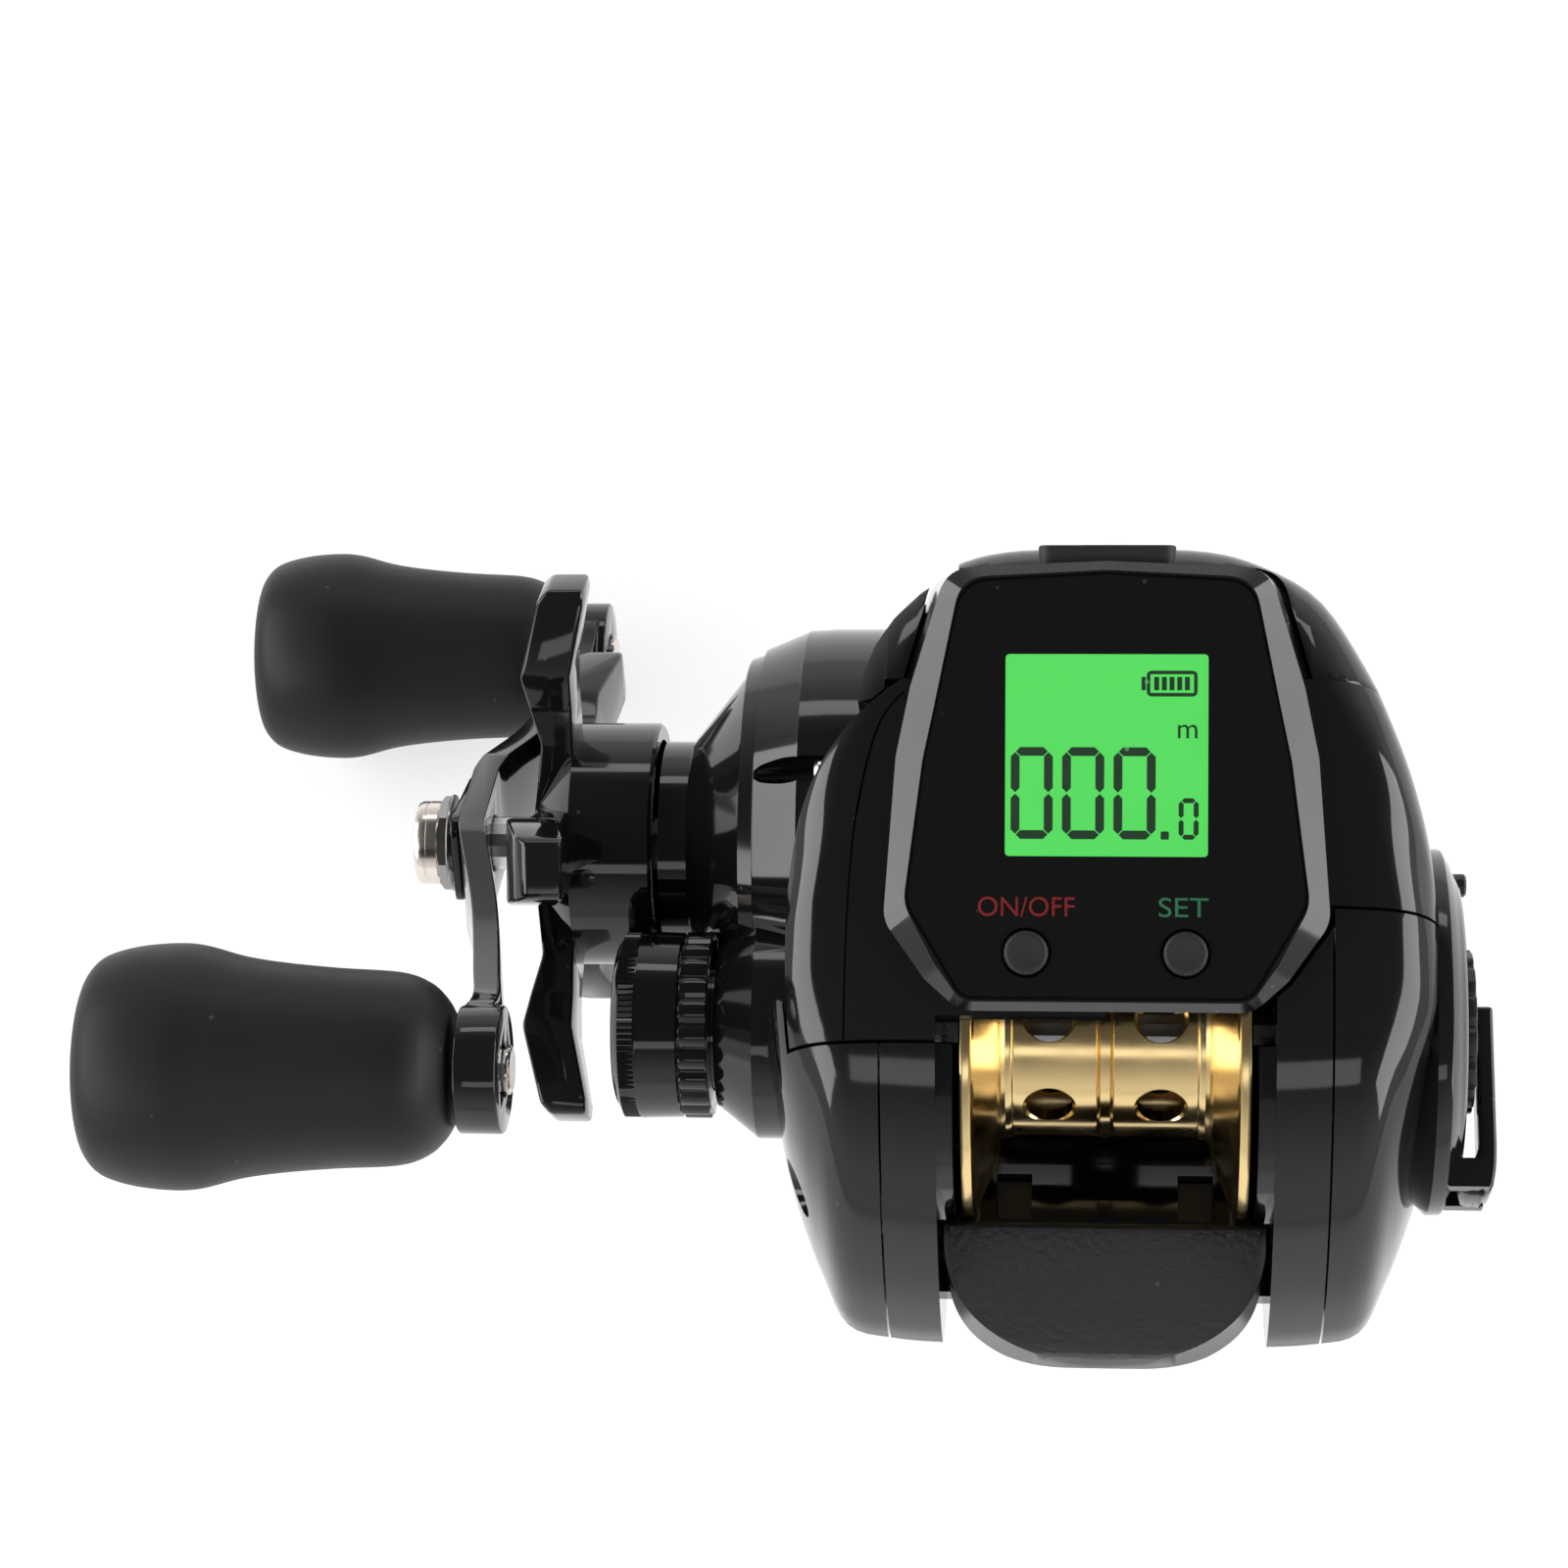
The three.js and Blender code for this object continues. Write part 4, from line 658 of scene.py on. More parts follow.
def make_finishes(colours):
    """Every finish by the name of its slot in the record, and those that only the scene uses"""
    moulded_grain()
    turning_marks()
    black, satin, rubber = colours.gloss, colours.satin, colours.rubber
    on_spool, on_shaft = AXES["spool"], AXES["crank"]
    return {
        "gloss_black": moulded("Gloss Plastic", black, (0.045, 0.10), bump=0.02, grain=420.0, dust=0.05),
        "satin_black": moulded("Satin Plastic", satin, (0.28, 0.40), bump=0.12, grain=2600.0, dust=0.03),
        "knob_rubber": moulded(
            "Knob Rubber", scaled(rubber, 0.7), (0.42, 0.52), bump=0.10, grain=3200.0, dust=0.06, dust_tone=4.0,
            Specular_IOR_Level=0.24,
        ),
        "soft_rubber": moulded(
            "Soft Rubber", scaled(rubber, 0.45), (0.5, 0.62), bump=0.15, grain=3000.0, dust=0.05,
        ),
        # Plain grey for the sheets set in the drains: painted shade of the floor seen through the open drains
        "plug_grey": moulded(
            "Plug Grey", (0.17, 0.17, 0.175), (0.34, 0.5), bump=0.1, grain=1800.0, dust=0.0,
        ),
        "knob_cap_black": moulded("Knob Cap", satin, (0.22, 0.32), bump=0.04, grain=1800.0),
        "gold_anodised": metal("Gold Anodised", colours.gold, (0.13, 0.24), on_spool, bump=0.05),
        "steel": metal("Steel", (0.60, 0.60, 0.61), (0.2, 0.32), on_spool),
        "nickel": metal("Nickel", colours.nickel, (0.16, 0.26), on_shaft, bump=0.015),
        "brass": metal("Brass", (0.62, 0.46, 0.20), (0.25, 0.38), on_shaft),
        "fibre": moulded("Drag Fibre", (0.035, 0.035, 0.037), (0.6, 0.8), bump=0.4, grain=1700.0),
        "white_plastic": moulded("White Nylon", (0.72, 0.72, 0.69), (0.3, 0.42), bump=0.06, dust_tone=0.8),
        "lcd_green": lit_screen("Lit Screen", colours.screen),
        "board_green": circuit("Circuit Board"),
        "cell_silver": moulded("Cell Foil", (0.42, 0.43, 0.45), (0.25, 0.4), bump=0.2, grain=500.0, Metallic=0.8),
        "grip_black": moulded(
            "Grip Plastic", scaled(satin, 0.5), (0.36, 0.48), bump=0.9, distance=0.16, dust=0.06,
        ),
        "glass_black": moulded(
            "Counter Glass", scaled(black, 0.6), (0.02, 0.05), bump=0.005, grain=200.0, dust=0.04,
        ),
        "screen_ink": moulded("Screen Ink", colours.ink, (0.3, 0.4), bump=0.02),
        "red_print": moulded("Red Print", colours.red, (0.35, 0.45), bump=0.02, dust=0.0),
        "green_print": moulded("Green Print", colours.green, (0.35, 0.45), bump=0.02, dust=0.0),
        "dark_steel": metal("Dark Steel", (0.30, 0.295, 0.29), (0.18, 0.28), on_shaft),
    }


# Handle, star wheel and spool tension cap


def on_crank(obj, angle=ARM_ANGLE):
    """Places a piece made round the origin onto the crank's axis, turned to the arm"""
    y, z = AXES["crank"]
    return moved(obj, Matrix.Translation((0, y, z)) @ Matrix.Rotation(radians(angle), 4, "X"))


def knob_axis(side):
    y, z = AXES["crank"]
    return y + side * ARM_Y, z + side * ARM_Z


KNOBS = {"rear": 1, "front": -1}
KNOB_SHARES = [
    (0, 0.70), (0.012, 0.80), (0.05, 0.90), (0.13, 0.97), (0.23, 1), (0.31, 0.985), (0.42, 0.9), (0.53, 0.85),
    (0.68, 0.81), (0.85, 0.78), (0.93, 0.70), (0.975, 0.58), (1, 0.46),
]


class REEL_OT_knobs(Operator):
    """Models both handle knobs with their end caps and spindle heads"""
    bl_idname = "reel.knobs"
    bl_label = "Handle Knobs"

    def execute(self, context):
        size = in_mm(context.scene.reel_crank)
        start = -(STATION["arm_hub"] + 4.5)
        end = start - size.knob_length
        cap_radius, cap_deep = 6.4, 1.6
        skin = [(end + a * size.knob_length, r * size.knob) for a, r in smooth(KNOB_SHARES, 60)]
        profile = [
            (end + cap_deep, 0), (end + cap_deep, cap_radius), (end + 0.25, cap_radius),
            (end, cap_radius + 0.3), *skin, (start, 0),
        ]
        for label, side in KNOBS.items():
            body = f"{label}_knob_body"
            knob = turned(f"{label}_knob_grip", profile, knob_axis(side), 128)
            finish(knob, body, "knob_rubber", "knob_rubber", f"{label}_knob", angle=50)
            face = end + cap_deep - GAP
            disc = [
                (face, 0), (face, cap_radius - SEAT), (face - 0.6, cap_radius - SEAT), (face - 0.9, cap_radius - 0.6),
                (face - 0.95, 4.2), (face - 0.7, 3.9), (face - 0.7, 1.2), (face - 0.85, 1.0), (face - 0.85, 0),
            ]
            cap = turned(f"{label}_knob_cap_disc", disc, knob_axis(side), 96)
            finish(cap, body, "knob_cap_black", "knob_cap_black", f"{label}_knob_cap", angle=25)
            seat = -STATION["arm_hub"] + GAP
            head = turned(
                f"{label}_spindle_head",
                [(seat, 0), (seat, 2.2), (seat + 0.2, 2.2), (seat + 0.4, 1.9), (seat + 0.4, 0)],
                knob_axis(side), 48,
            )
            finish(head, "crank", "nickel", "steel")
        return {"FINISHED"}


class REEL_OT_handle(Operator):
    """Models the handle arm, its lock plate and its nut"""
    bl_idname = "reel.handle"
    bl_label = "Handle Arm and Nut"

    def execute(self, context):
        size = in_mm(context.scene.reel_crank)
        hub_face = -STATION["arm_hub"]
        bend = STATION["arm"] - STATION["arm_hub"]
        straight, thick, hub_thick = 8, 2.5, 3.9
        inside = smooth(
            [
                (ARM_REACH + size.hub, hub_face - 0.12 * bend), (ARM_REACH * 0.87, hub_face - 0.14 * bend),
                (ARM_REACH * 0.73, hub_face - 0.26 * bend), (ARM_REACH * 0.43, hub_face - 0.56 * bend),
                (straight * 0.9, hub_face - 0.95 * bend), (straight * 0.5, -STATION["arm"]),
            ],
            40,
        )
        edge = [*inside, *[(-s, x) for s, x in reversed(inside)]]
        side = [*edge, *[(s, x - thick) for s, x in reversed(edge)]]
        strip = prism("handle_arm_blade", [(x, s) for s, x in side], -size.arm_width, size.arm_width, "Z")
        quarter = smooth(
            [
                (0, size.hub * 1.25), (straight, size.arm_width), (ARM_REACH * 0.5, size.arm_width * 0.62),
                (ARM_REACH - 1.4 * size.hub, size.arm_width * 0.72), (ARM_REACH - 0.4 * size.hub, size.hub * 0.93),
                (ARM_REACH + 0.5 * size.hub, size.hub * 0.83), (ARM_REACH + 0.96 * size.hub, 0),
            ],
            56,
        )
        above = [*[(-s, w) for s, w in reversed(quarter)], *quarter[1:]]
        plan = [*above, *[(s, -w) for s, w in reversed(above[1:-1])]]
        common(strip, prism("arm_plan", plan, -FAR, 0))
        ends = [(side * ARM_REACH, 0) for side in (-1, 1)]
        join(strip, *[rod("arm_hub", at, hub_face - hub_thick, hub_face, size.hub, 72) for at in ends])
        cut(strip, rod("arm_bore", (0, 0), -FAR, 0, 2.8, 48))
        cut(strip, *[rod("spindle_bore", at, -FAR, 0, 2.4, 48) for at in ends])
        bevelled(strip, 0.38, 3, 40)
        finish(on_crank(strip), "crank", "gloss_black", "gloss_black", "handle_arm", angle=30)
        self.lock_plate()
        self.nut()
        return {"FINISHED"}

    def lock_plate(self):
        x = -(STATION["arm"] + 2.5 + GAP)
        plan = rounded([(-9.2, -2.64, 1), (4.4, -4.8, 2), (4.4, 4.8, 2), (-9.2, 2.64, 1)])
        plate = prism("lock_plate_strip", plan, x - 0.8, x)
        cut(plate, rod("plate_bore", (0, 0), -FAR, 0, 2.8, 48))
        bevelled(plate, 0.18, 2, 40)
        finish(on_crank(plate), "crank", "gloss_black", "satin_black", "nut_lock_plate")

    def nut(self):
        start = -(STATION["arm"] + 2.5 + 0.8 + 2 * GAP)
        flange = turned(
            "nut_flange",
            [(start, 2.8), (start, 4.7), (start - 0.15, 4.75), (start - 0.3, 4.6), (start - 0.3, 2.8)],
            (0, 0), 96,
        )
        finish(on_crank(flange), "crank", "dark_steel", "nickel", angle=50)
        grip = prism("nut_hex", wavy([4.6] * 6, (0, 0)), start - 1.3, start - 0.25)
        chamfer = [(start - 1.3, 0), (start - 1.3, 4.1), (start - 1.0, 4.6), (start, 4.7), (start, 0)]
        common(grip, turned("hex_chamfer", chamfer, (0, 0), 96))
        finish(on_crank(grip), "crank", "dark_steel", "nickel", angle=25)
        top = start - 3.6
        dome = turned(
            "nut_dome",
            [
                (start - 1.2, 0), (start - 1.2, 3.95), (start - 1.35, 4.08), (top + 1.25, 4.08), (top + 1.2, 4.02),
                (top + 1.05, 4.02), (top + 1.0, 4.08), (top + 0.45, 4.06), (top + 0.15, 3.9), (top, 3.55), (top, 2.2),
                (top + 0.8, 2.0), (top + 0.8, 0),
            ],
            (0, 0), 96,
        )
        finish(on_crank(dome), "crank", "nickel", "nickel", "handle_nut", angle=28)


class REEL_OT_star(Operator):
    """Models the star wheel with its five faceted arms"""
    bl_idname = "reel.star"
    bl_label = "Star Wheel"

    def execute(self, context):
        size = in_mm(context.scene.reel_crank)
        axis = AXES["crank"]
        inner_face = -STATION["star_hub"]
        face = -STATION["star_arms"]
        cup, web, bulge, thick = 10.2, 2.6, 3.1, 4.4
        knee, neck, reach, bore = 18.8, 15.4, size.star_reach, 2.8
        wheel = turned(
            "star_wheel",
            [
                (inner_face, cup), (inner_face, size.star_hub - 0.3), (inner_face - 0.3, size.star_hub),
                (face + WALL / 2, size.star_hub), (face, size.star_hub - WALL / 2), (face - bulge, cup * 0.62),
                (face - bulge, bore), (face + web, bore), (face + web, cup),
            ],
            axis, 128,
        )
        tip_x = face - 0.65 * bulge
        side = [
            (face - bulge, cup * 0.5), (face - 0.7 * bulge, size.star_hub), (face - 1.05 * bulge, neck),
            (face - 1.25 * bulge, knee), (tip_x, reach - 1), (tip_x + 1, reach), (tip_x + thick, reach),
            (tip_x + thick, reach - 1.5), (face - 1.5 * bulge + thick + 1.2, knee), (face + WALL / 2, neck),
            (face + WALL / 2, size.star_hub - WALL), (face + WALL / 2, cup * 0.5),
        ]
        arm = prism("star_arm", side, -4, 4, "Z")
        half = [(4, cup * 0.5), (4, size.star_hub), (3.3, neck), (4.2, knee), (3, reach - 1), (2, reach + 1)]
        plan = [(r, w) for w, r in half] + [(r, -w) for w, r in reversed(half)]
        common(arm, prism("arm_face", plan, -FAR, 0))
        bevelled(arm, 0.4, 3, 20)
        for i in range(5):
            join(wheel, on_crank(copied(arm, f"star_arm_{i}"), 43 + 72 * i))
        remove(arm)
        finish(wheel, "star", "gloss_black", "gloss_black", "star_drag", angle=24)
        return {"FINISHED"}


class REEL_OT_cast_cap(Operator):
    """Models the cast control cap with its two knurled bands"""
    bl_idname = "reel.cast_cap"
    bl_label = "Cast Control Cap"

    def execute(self, context):
        size = in_mm(context.scene.reel_crank)
        axis = AXES["spool"]
        start = -(STATION["cone"] + 2.5)
        end = -(PIPE_END + 6.2)
        coarse_end = start - 2.8
        r = size.cap
        shell = turned(
            "cast_cap_shell",
            [
                (-PIPE_END - WALL, 0), (-PIPE_END - WALL, 6.2), (start, 6.2), (start, r - 0.75), (coarse_end, r - 0.75),
                (coarse_end, r - 0.3), (coarse_end - 0.15, r - 0.12), (end + 2.4, r), (end + 2.35, r - 0.18),
                (end + 2.2, r - 0.2), (end + 0.8, r - 0.35), (end + 0.2, r - 1.1), (end, r - 1.6), (end, 5.2),
                (end + 0.35, 4.9), (end + 0.35, 0),
            ],
            axis, 128,
        )
        finish(shell, "cast_cap", "gloss_black", "gloss_black", "cast_control_cap", angle=30)
        self.band("cast_cap_coarse_knurl", axis, coarse_end + 0.1, start - 0.1, r - 0.65, 0.6, 22, 6)
        self.band("cast_cap_fine_knurl", axis, end + 0.75, end + 2.2, r - 0.28, 0.2, 96, 2)
        return {"FINISHED"}

    def band(self, name, axis, low, high, root, height, ribs, steps):
        """A ring of ribs round the cap, each rib a soft wave"""
        many = ribs * steps
        wave = [root + height * abs(cos(pi * i / steps)) ** 0.8 for i in range(many)]
        outline = wavy(wave, axis)
        ring = prism(name, outline, low, high)
        cut(ring, rod("ring_bore", axis, low - 1, high + 1, root - 0.6, 96))
        if steps > 2:
            bevelled(ring, 0.15, 2, 60)
        finish(ring, "cast_cap", "gloss_black", "gloss_black", angle=40)


# Body skins

# Side outline, as shares of nose or tail length and of the height over or under the middle
SIDE_SHARES = [
    (-1, -0.5), (-0.985, -0.3), (-0.91, 0.05), (-0.76, 0.4), (-0.52, 0.73), (-0.22, 0.93), (0.13, 1),
    (0.44, 1), (0.71, 0.97), (0.9, 0.86), (0.98, 0.64), (1, 0.15), (0.96, -0.45), (0.84, -0.8),
    (0.6, -0.96), (0, -1), (-0.6, -0.96), (-0.88, -0.8),
]
# How it draws in to each side: share of the half width, then of the front, rear, top and bottom
DRAW_SHARES = [
    (0, 1.012, 1, 1, 1), (0.27, 1.01, 1, 1, 1), (0.45, 0.98, 1, 1, 1), (0.64, 0.9, 0.985, 1, 0.99),
    (0.78, 0.75, 0.94, 0.975, 0.95), (0.86, 0.625, 0.75, 0.94, 0.88), (0.92, 0.505, 0.56, 0.88, 0.79),
    (0.965, 0.37, 0.38, 0.79, 0.67), (1, 0.2, 0.17, 0.6, 0.45),
]
HOUSE = {"radius": 21, "boss": 10, "bore": 8.1, "lobe": 10.6, "lobe_tip": 7.6, "pipe": 6}
# The gear drum, as shares of its reach and radius: side, sloping band, narrow step
DRUM_SHARES = [(0, 1), (0.4, 1), (0.6, 0.992), (0.615, 0.986), (0.895, 0.908), (0.905, 0.882), (1, 0.862)]
# Where the egg ends beside the drum, in front of the gear shoulder
EGG_EDGE = [(-22.6, 19.2), (-22.4, 21.5), (-21.3, 25), (-19.6, 28), (-17, 31), (-13.8, 33.4)]
# The gear shoulder's edge over the drum, from its rear end to the nose
LENS_EDGE = [
    (-28.1, -14), (-28.6, -8), (-28.7, -1.2), (-28.4, 4), (-27.6, 9), (-26, 13.2), (-23.6, 16.8), (-21, 19.4),
    (-18.4, 21.4), (-15.5, 23),
]
LOBE_END = STATION["cone"] + 2
PIPE_END = STATION["neck"] - 0.3
# Half plans of the counter's block, its bevelled rim and its glass, as shares of half the width and of
# the length of its face, each corner with its radius in units of CORNER
BLOCK_SHARES = [
    (0, 0), (0.67, 0, 1), (0.83, 0.07), (1.02, 0.2, 1), (0.965, 0.565), (0.9, 0.72), (0.735, 0.985, 2), (0, 1),
]
RIM_SHARES = [
    (0, 0.022), (0.66, 0.022, 1), (0.78, 0.105), (0.925, 0.238, 1), (0.84, 0.555), (0.79, 0.67), (0.668, 0.962, 2),
    (0, 0.978),
]
GLASS_SHARES = [(0, 0.034), (0.652, 0.034, 1), (0.907, 0.242, 1), (0.825, 0.56), (0.655, 0.95, 2), (0, 0.967)]
DISPLAY_TILT = 20
DISPLAY_Y, DISPLAY_Z = -10.5, 48.5
CORNER = 1.2
SPOOL_ROOM = 19.6


def envelope(name, size, inset=0.0):
    """The smooth egg of the body, drawn in by a wall's thickness"""
    over, under = size.top - size.middle, size.middle - size.bottom
    table = [
        (a * (size.nose if a > 0 else size.tail), size.middle + b * (over if b > 0 else under))
        for a, b in [*SIDE_SHARES, SIDE_SHARES[0]]
    ]
    outline = smooth(table, 126)[1:]
    front, rear = size.nose - size.waist, size.tail + size.waist
    rows = smooth(DRAW_SHARES, 34)

    def ring(side, row):
        x, f, r, t, b = row
        width = (size.palm_width if side > 0 else size.gear_width) - inset
        ahead, behind = f * (1 - inset / front), r * (1 - inset / rear)
        up, down = t * (1 - inset / over), b * (1 - inset / under)
        return [
            (
                side * x * width,
                size.waist + (y - size.waist) * (ahead if y > size.waist else behind),
                size.middle + (z - size.middle) * (up if z > size.middle else down),
            )
            for y, z in outline
        ]

    return loft(name, [*[ring(-1, row) for row in reversed(rows[1:])], *[ring(1, row) for row in rows]])


def house(name, inset=0.0):
    """The gear house: a drum round the main gear with a cone, a boss and the cap's lobe"""
    seam = -STATION["cover"]
    reach = STATION["cone"] - STATION["cover"]
    drum = [(seam - a * (reach - inset), HOUSE["radius"] * b - inset) for a, b in DRUM_SHARES]
    boss = HOUSE["bore"] if inset else HOUSE["boss"]
    end = -STATION["boss_end"] - (OVERRUN if inset else 0)
    if not inset:
        x, r = drum[-1]
        drum += [(x - 0.15, r - 0.2), (x - 0.15, r - 1.1)]
    drum = [(seam + OVERRUN, HOUSE["radius"] - inset), *drum]
    cone = [(-STATION["neck"] + 3 * inset, boss), (end, boss)]
    body = turned(name, [(seam + OVERRUN, 0), *drum, *cone, (end, 0)], AXES["crank"], 160)
    lobe = turned(
        "cap_lobe",
        [
            (-LOBE_END + inset, 0), (-LOBE_END + inset, HOUSE["lobe_tip"] - inset),
            (-STATION["cone"] + WALL, HOUSE["lobe"] - inset), (seam, HOUSE["lobe"] - inset), (seam, 0),
        ],
        AXES["spool"], 96,
    )
    return join(body, lobe)


def egg(name, size, inset=0.0):
    """The body's egg, cut back to the drum outside the gear shoulder's edge"""
    edge = [(x + inset, y) for x, y in [*smooth(LENS_EDGE[1:-2], 50), *EGG_EDGE]]
    plan = [(-FAR, edge[0][1]), *edge, (edge[-1][0], FAR), (-FAR, FAR)]
    return cut(envelope(name, size, inset), prism("egg_side", plan, size.deck_seam - 2, FAR + 1, "Z"))


def halved(obj, at, normal):
    """Keeps the part of a solid that lies on the side its normal points to, and closes the cut"""
    pick(obj)
    bpy.ops.object.mode_set(mode="EDIT")
    bpy.ops.mesh.select_all(action="SELECT")
    bpy.ops.mesh.bisect(
        plane_co=Vector(at) * MM, plane_no=normal, use_fill=True, clear_inner=True, clear_outer=False,
        threshold=1e-7,
    )
    bpy.ops.object.mode_set(mode="OBJECT")
    return obj


def on_display(obj):
    """Places a piece made in the counter's own plane: x, distance forwards, height over the face"""
    tilt = Matrix.Rotation(radians(DISPLAY_TILT), 4, "X")
    return moved(obj, Matrix.Translation((0, DISPLAY_Y, DISPLAY_Z)) @ tilt)


def display_plan(size, shares, inset=0.0):
    """A plan in the counter's plane from one of the half plans above"""
    middle = size.length / 2
    scale = 1 - inset / middle
    half = [
        (a * size.half_width * scale, middle + (b * size.length - middle) * scale, *(r * CORNER for r in rest))
        for a, b, *rest in shares
    ]
    return mirrored(rounded(half, 8))


def counter_block(name, size, grow=0.0):
    """The raised block of the counter: a face with a bevel, over sides that flare downwards"""
    middle = size.length / 2

    def ring(height, shares, wide=0.0, long=0.0):
        return [
            (x * (1 + wide), middle + (s - middle) * (1 + long), height)
            for x, s in display_plan(size, shares, -grow)
        ]

    return on_display(loft(name, [
        ring(-size.depth, BLOCK_SHARES, 0.12, 0.04), ring(-size.lip, BLOCK_SHARES), ring(grow, RIM_SHARES),
    ]))


def display_slab(name, size, shares, inset, low, high):
    return on_display(prism(name, display_plan(size, shares, inset), low, high, "Z"))


def display_block(name, xs, along, heights):
    return on_display(block(name, xs, along, heights))


def shoulder_room(size, grow=0.0):
    """The room of the housing's two shoulders, as one solid"""
    low = size.deck_seam - grow
    front = size.nose_seam + grow
    lens = [(x - grow, y) for x, y in smooth(LENS_EDGE, 60)]
    plan = [(0, lens[0][1]), *lens, (lens[-1][0], front + 4), (0, front + 4)]
    gear = prism("gear_shoulder_room", plan, low, FAR, "Z")
    common(gear, block("gear_room_ends", (-FAR, FAR), (size.gear_seam - grow, front), (low - 1, FAR + 1)))
    return join(gear, block("palm_shoulder_room", (-grow, FAR), (size.palm_seam - grow, front), (low, FAR)))


def shoulder_crease(size):
    """A shallow groove that runs down the gear shoulder, inside its rounded edge"""
    line = smooth([(-17.5, 21), (-20.6, 17), (-22.4, 9), (-23.1, 0), (-23.4, -14)], 48)
    strip = [*line, *[(x + 0.22, y) for x, y in reversed(line)]]
    crease = prism("shoulder_crease", strip, size.deck_seam - 3, FAR, "Z")
    return cut(crease, join(envelope("crease_floor", size, 0.3), house("crease_drum", 0.3)))


def on_drum(angle):
    """A cover screw's axis, just inside the drum's surface"""
    y, z = AXES["crank"]
    reach = HOUSE["radius"] - 1.7
    return y + reach * cos(radians(angle)), z + reach * sin(radians(angle))


def screw_pockets(size):
    """Each cover screw as its axis, the seat of its head and the end of its post"""
    end = STATION["drag"] - 1.4
    return {
        "top": (on_drum(90), end + 0.7, end),
        "front": (on_drum(-38), end + 0.7, end),
        "rear": ((11.4 - size.tail, AXES["spool"][1] - 0.5), size.gear_width - 4.9, STATION["cover"] + GAP),
    }


class REEL_OT_front_cover(Operator):
    """Models the nose cover with its line window"""
    bl_idname = "reel.front_cover"
    bl_label = "Front Cover"

    def execute(self, context):
        size = in_mm(context.scene.reel_body)
        counter = in_mm(context.scene.reel_counter)
        cover = egg("front_cover_skin", size)
        halved(cover, (0, size.nose_seam, 0), (0, 1, 0))
        halved(cover, (-STATION["cover"], 0, 0), (1, 0, 0))
        cut(cover, egg("nose_room", size, WALL), house("gear_room", -GAP), counter_block("block_room", counter, GAP))
        window = box(-12.2, 18, 12.2, 30.5, 3)
        cut(cover, prism("line_window", window, size.nose_seam, FAR, "Y"))
        bevelled(cover, 0.16, 2, 40)
        finish(cover, "reel_body", "gloss_black", "gloss_black", "front_cover", angle=28)
        return {"FINISHED"}


class REEL_OT_counter(Operator):
    """Models the counter housing with its shoulders, bezel and openings"""
    bl_idname = "reel.counter"
    bl_label = "Counter Housing"

    def execute(self, context):
        size = in_mm(context.scene.reel_body)
        counter = in_mm(context.scene.reel_counter)
        skin = join(envelope("counter_housing_skin", size), house("drum"))
        common(skin, shoulder_room(size))
        cut(skin, join(envelope("body_room", size, WALL), house("drum_room", WALL)))
        raised = counter_block("counter_block", counter)
        halved(raised, (0, 0, size.deck_seam + 0.02), (0, 0, 1))
        join(skin, raised)
        room = display_slab("electrics_room", counter, BLOCK_SHARES, 1.7, -counter.depth, -3.4)
        halved(room, (0, 0, 44.6), (0, 0, 1))
        cut(room, rod("spool_roof", AXES["spool"], -FAR, FAR, SPOOL_ROOM + 1, 128))
        walls = STATION["cover"] - SEAT + GAP
        cut(
            skin, room,
            block("between_walls", (-walls, walls), (-FAR, FAR), (-FAR, 43.2)),
            rod("spool_room", AXES["spool"], -size.frame_inner + GAP, size.frame_inner - GAP, SPOOL_ROOM, 128),
            display_slab("glass_pocket", counter, GLASS_SHARES, -GAP, -1.6, OVERRUN),
            display_block("port_mouth", (-4.8, 4.8), (counter.length - 8.4, counter.length + 2), (-7.6, -3.8)),
            display_block("flap_seat", (-6.4, 6.4), (counter.length - 0.7, counter.length + 4), (-9.3, -2.1)),
            shoulder_crease(size),
            block("spool_window", (-size.frame_inner, size.frame_inner), (-FAR, DISPLAY_Y + 0.4), (-FAR, FAR)),
        )
        finish(skin, "reel_body", "gloss_black", "gloss_black", "counter_housing", angle=26)
        return {"FINISHED"}


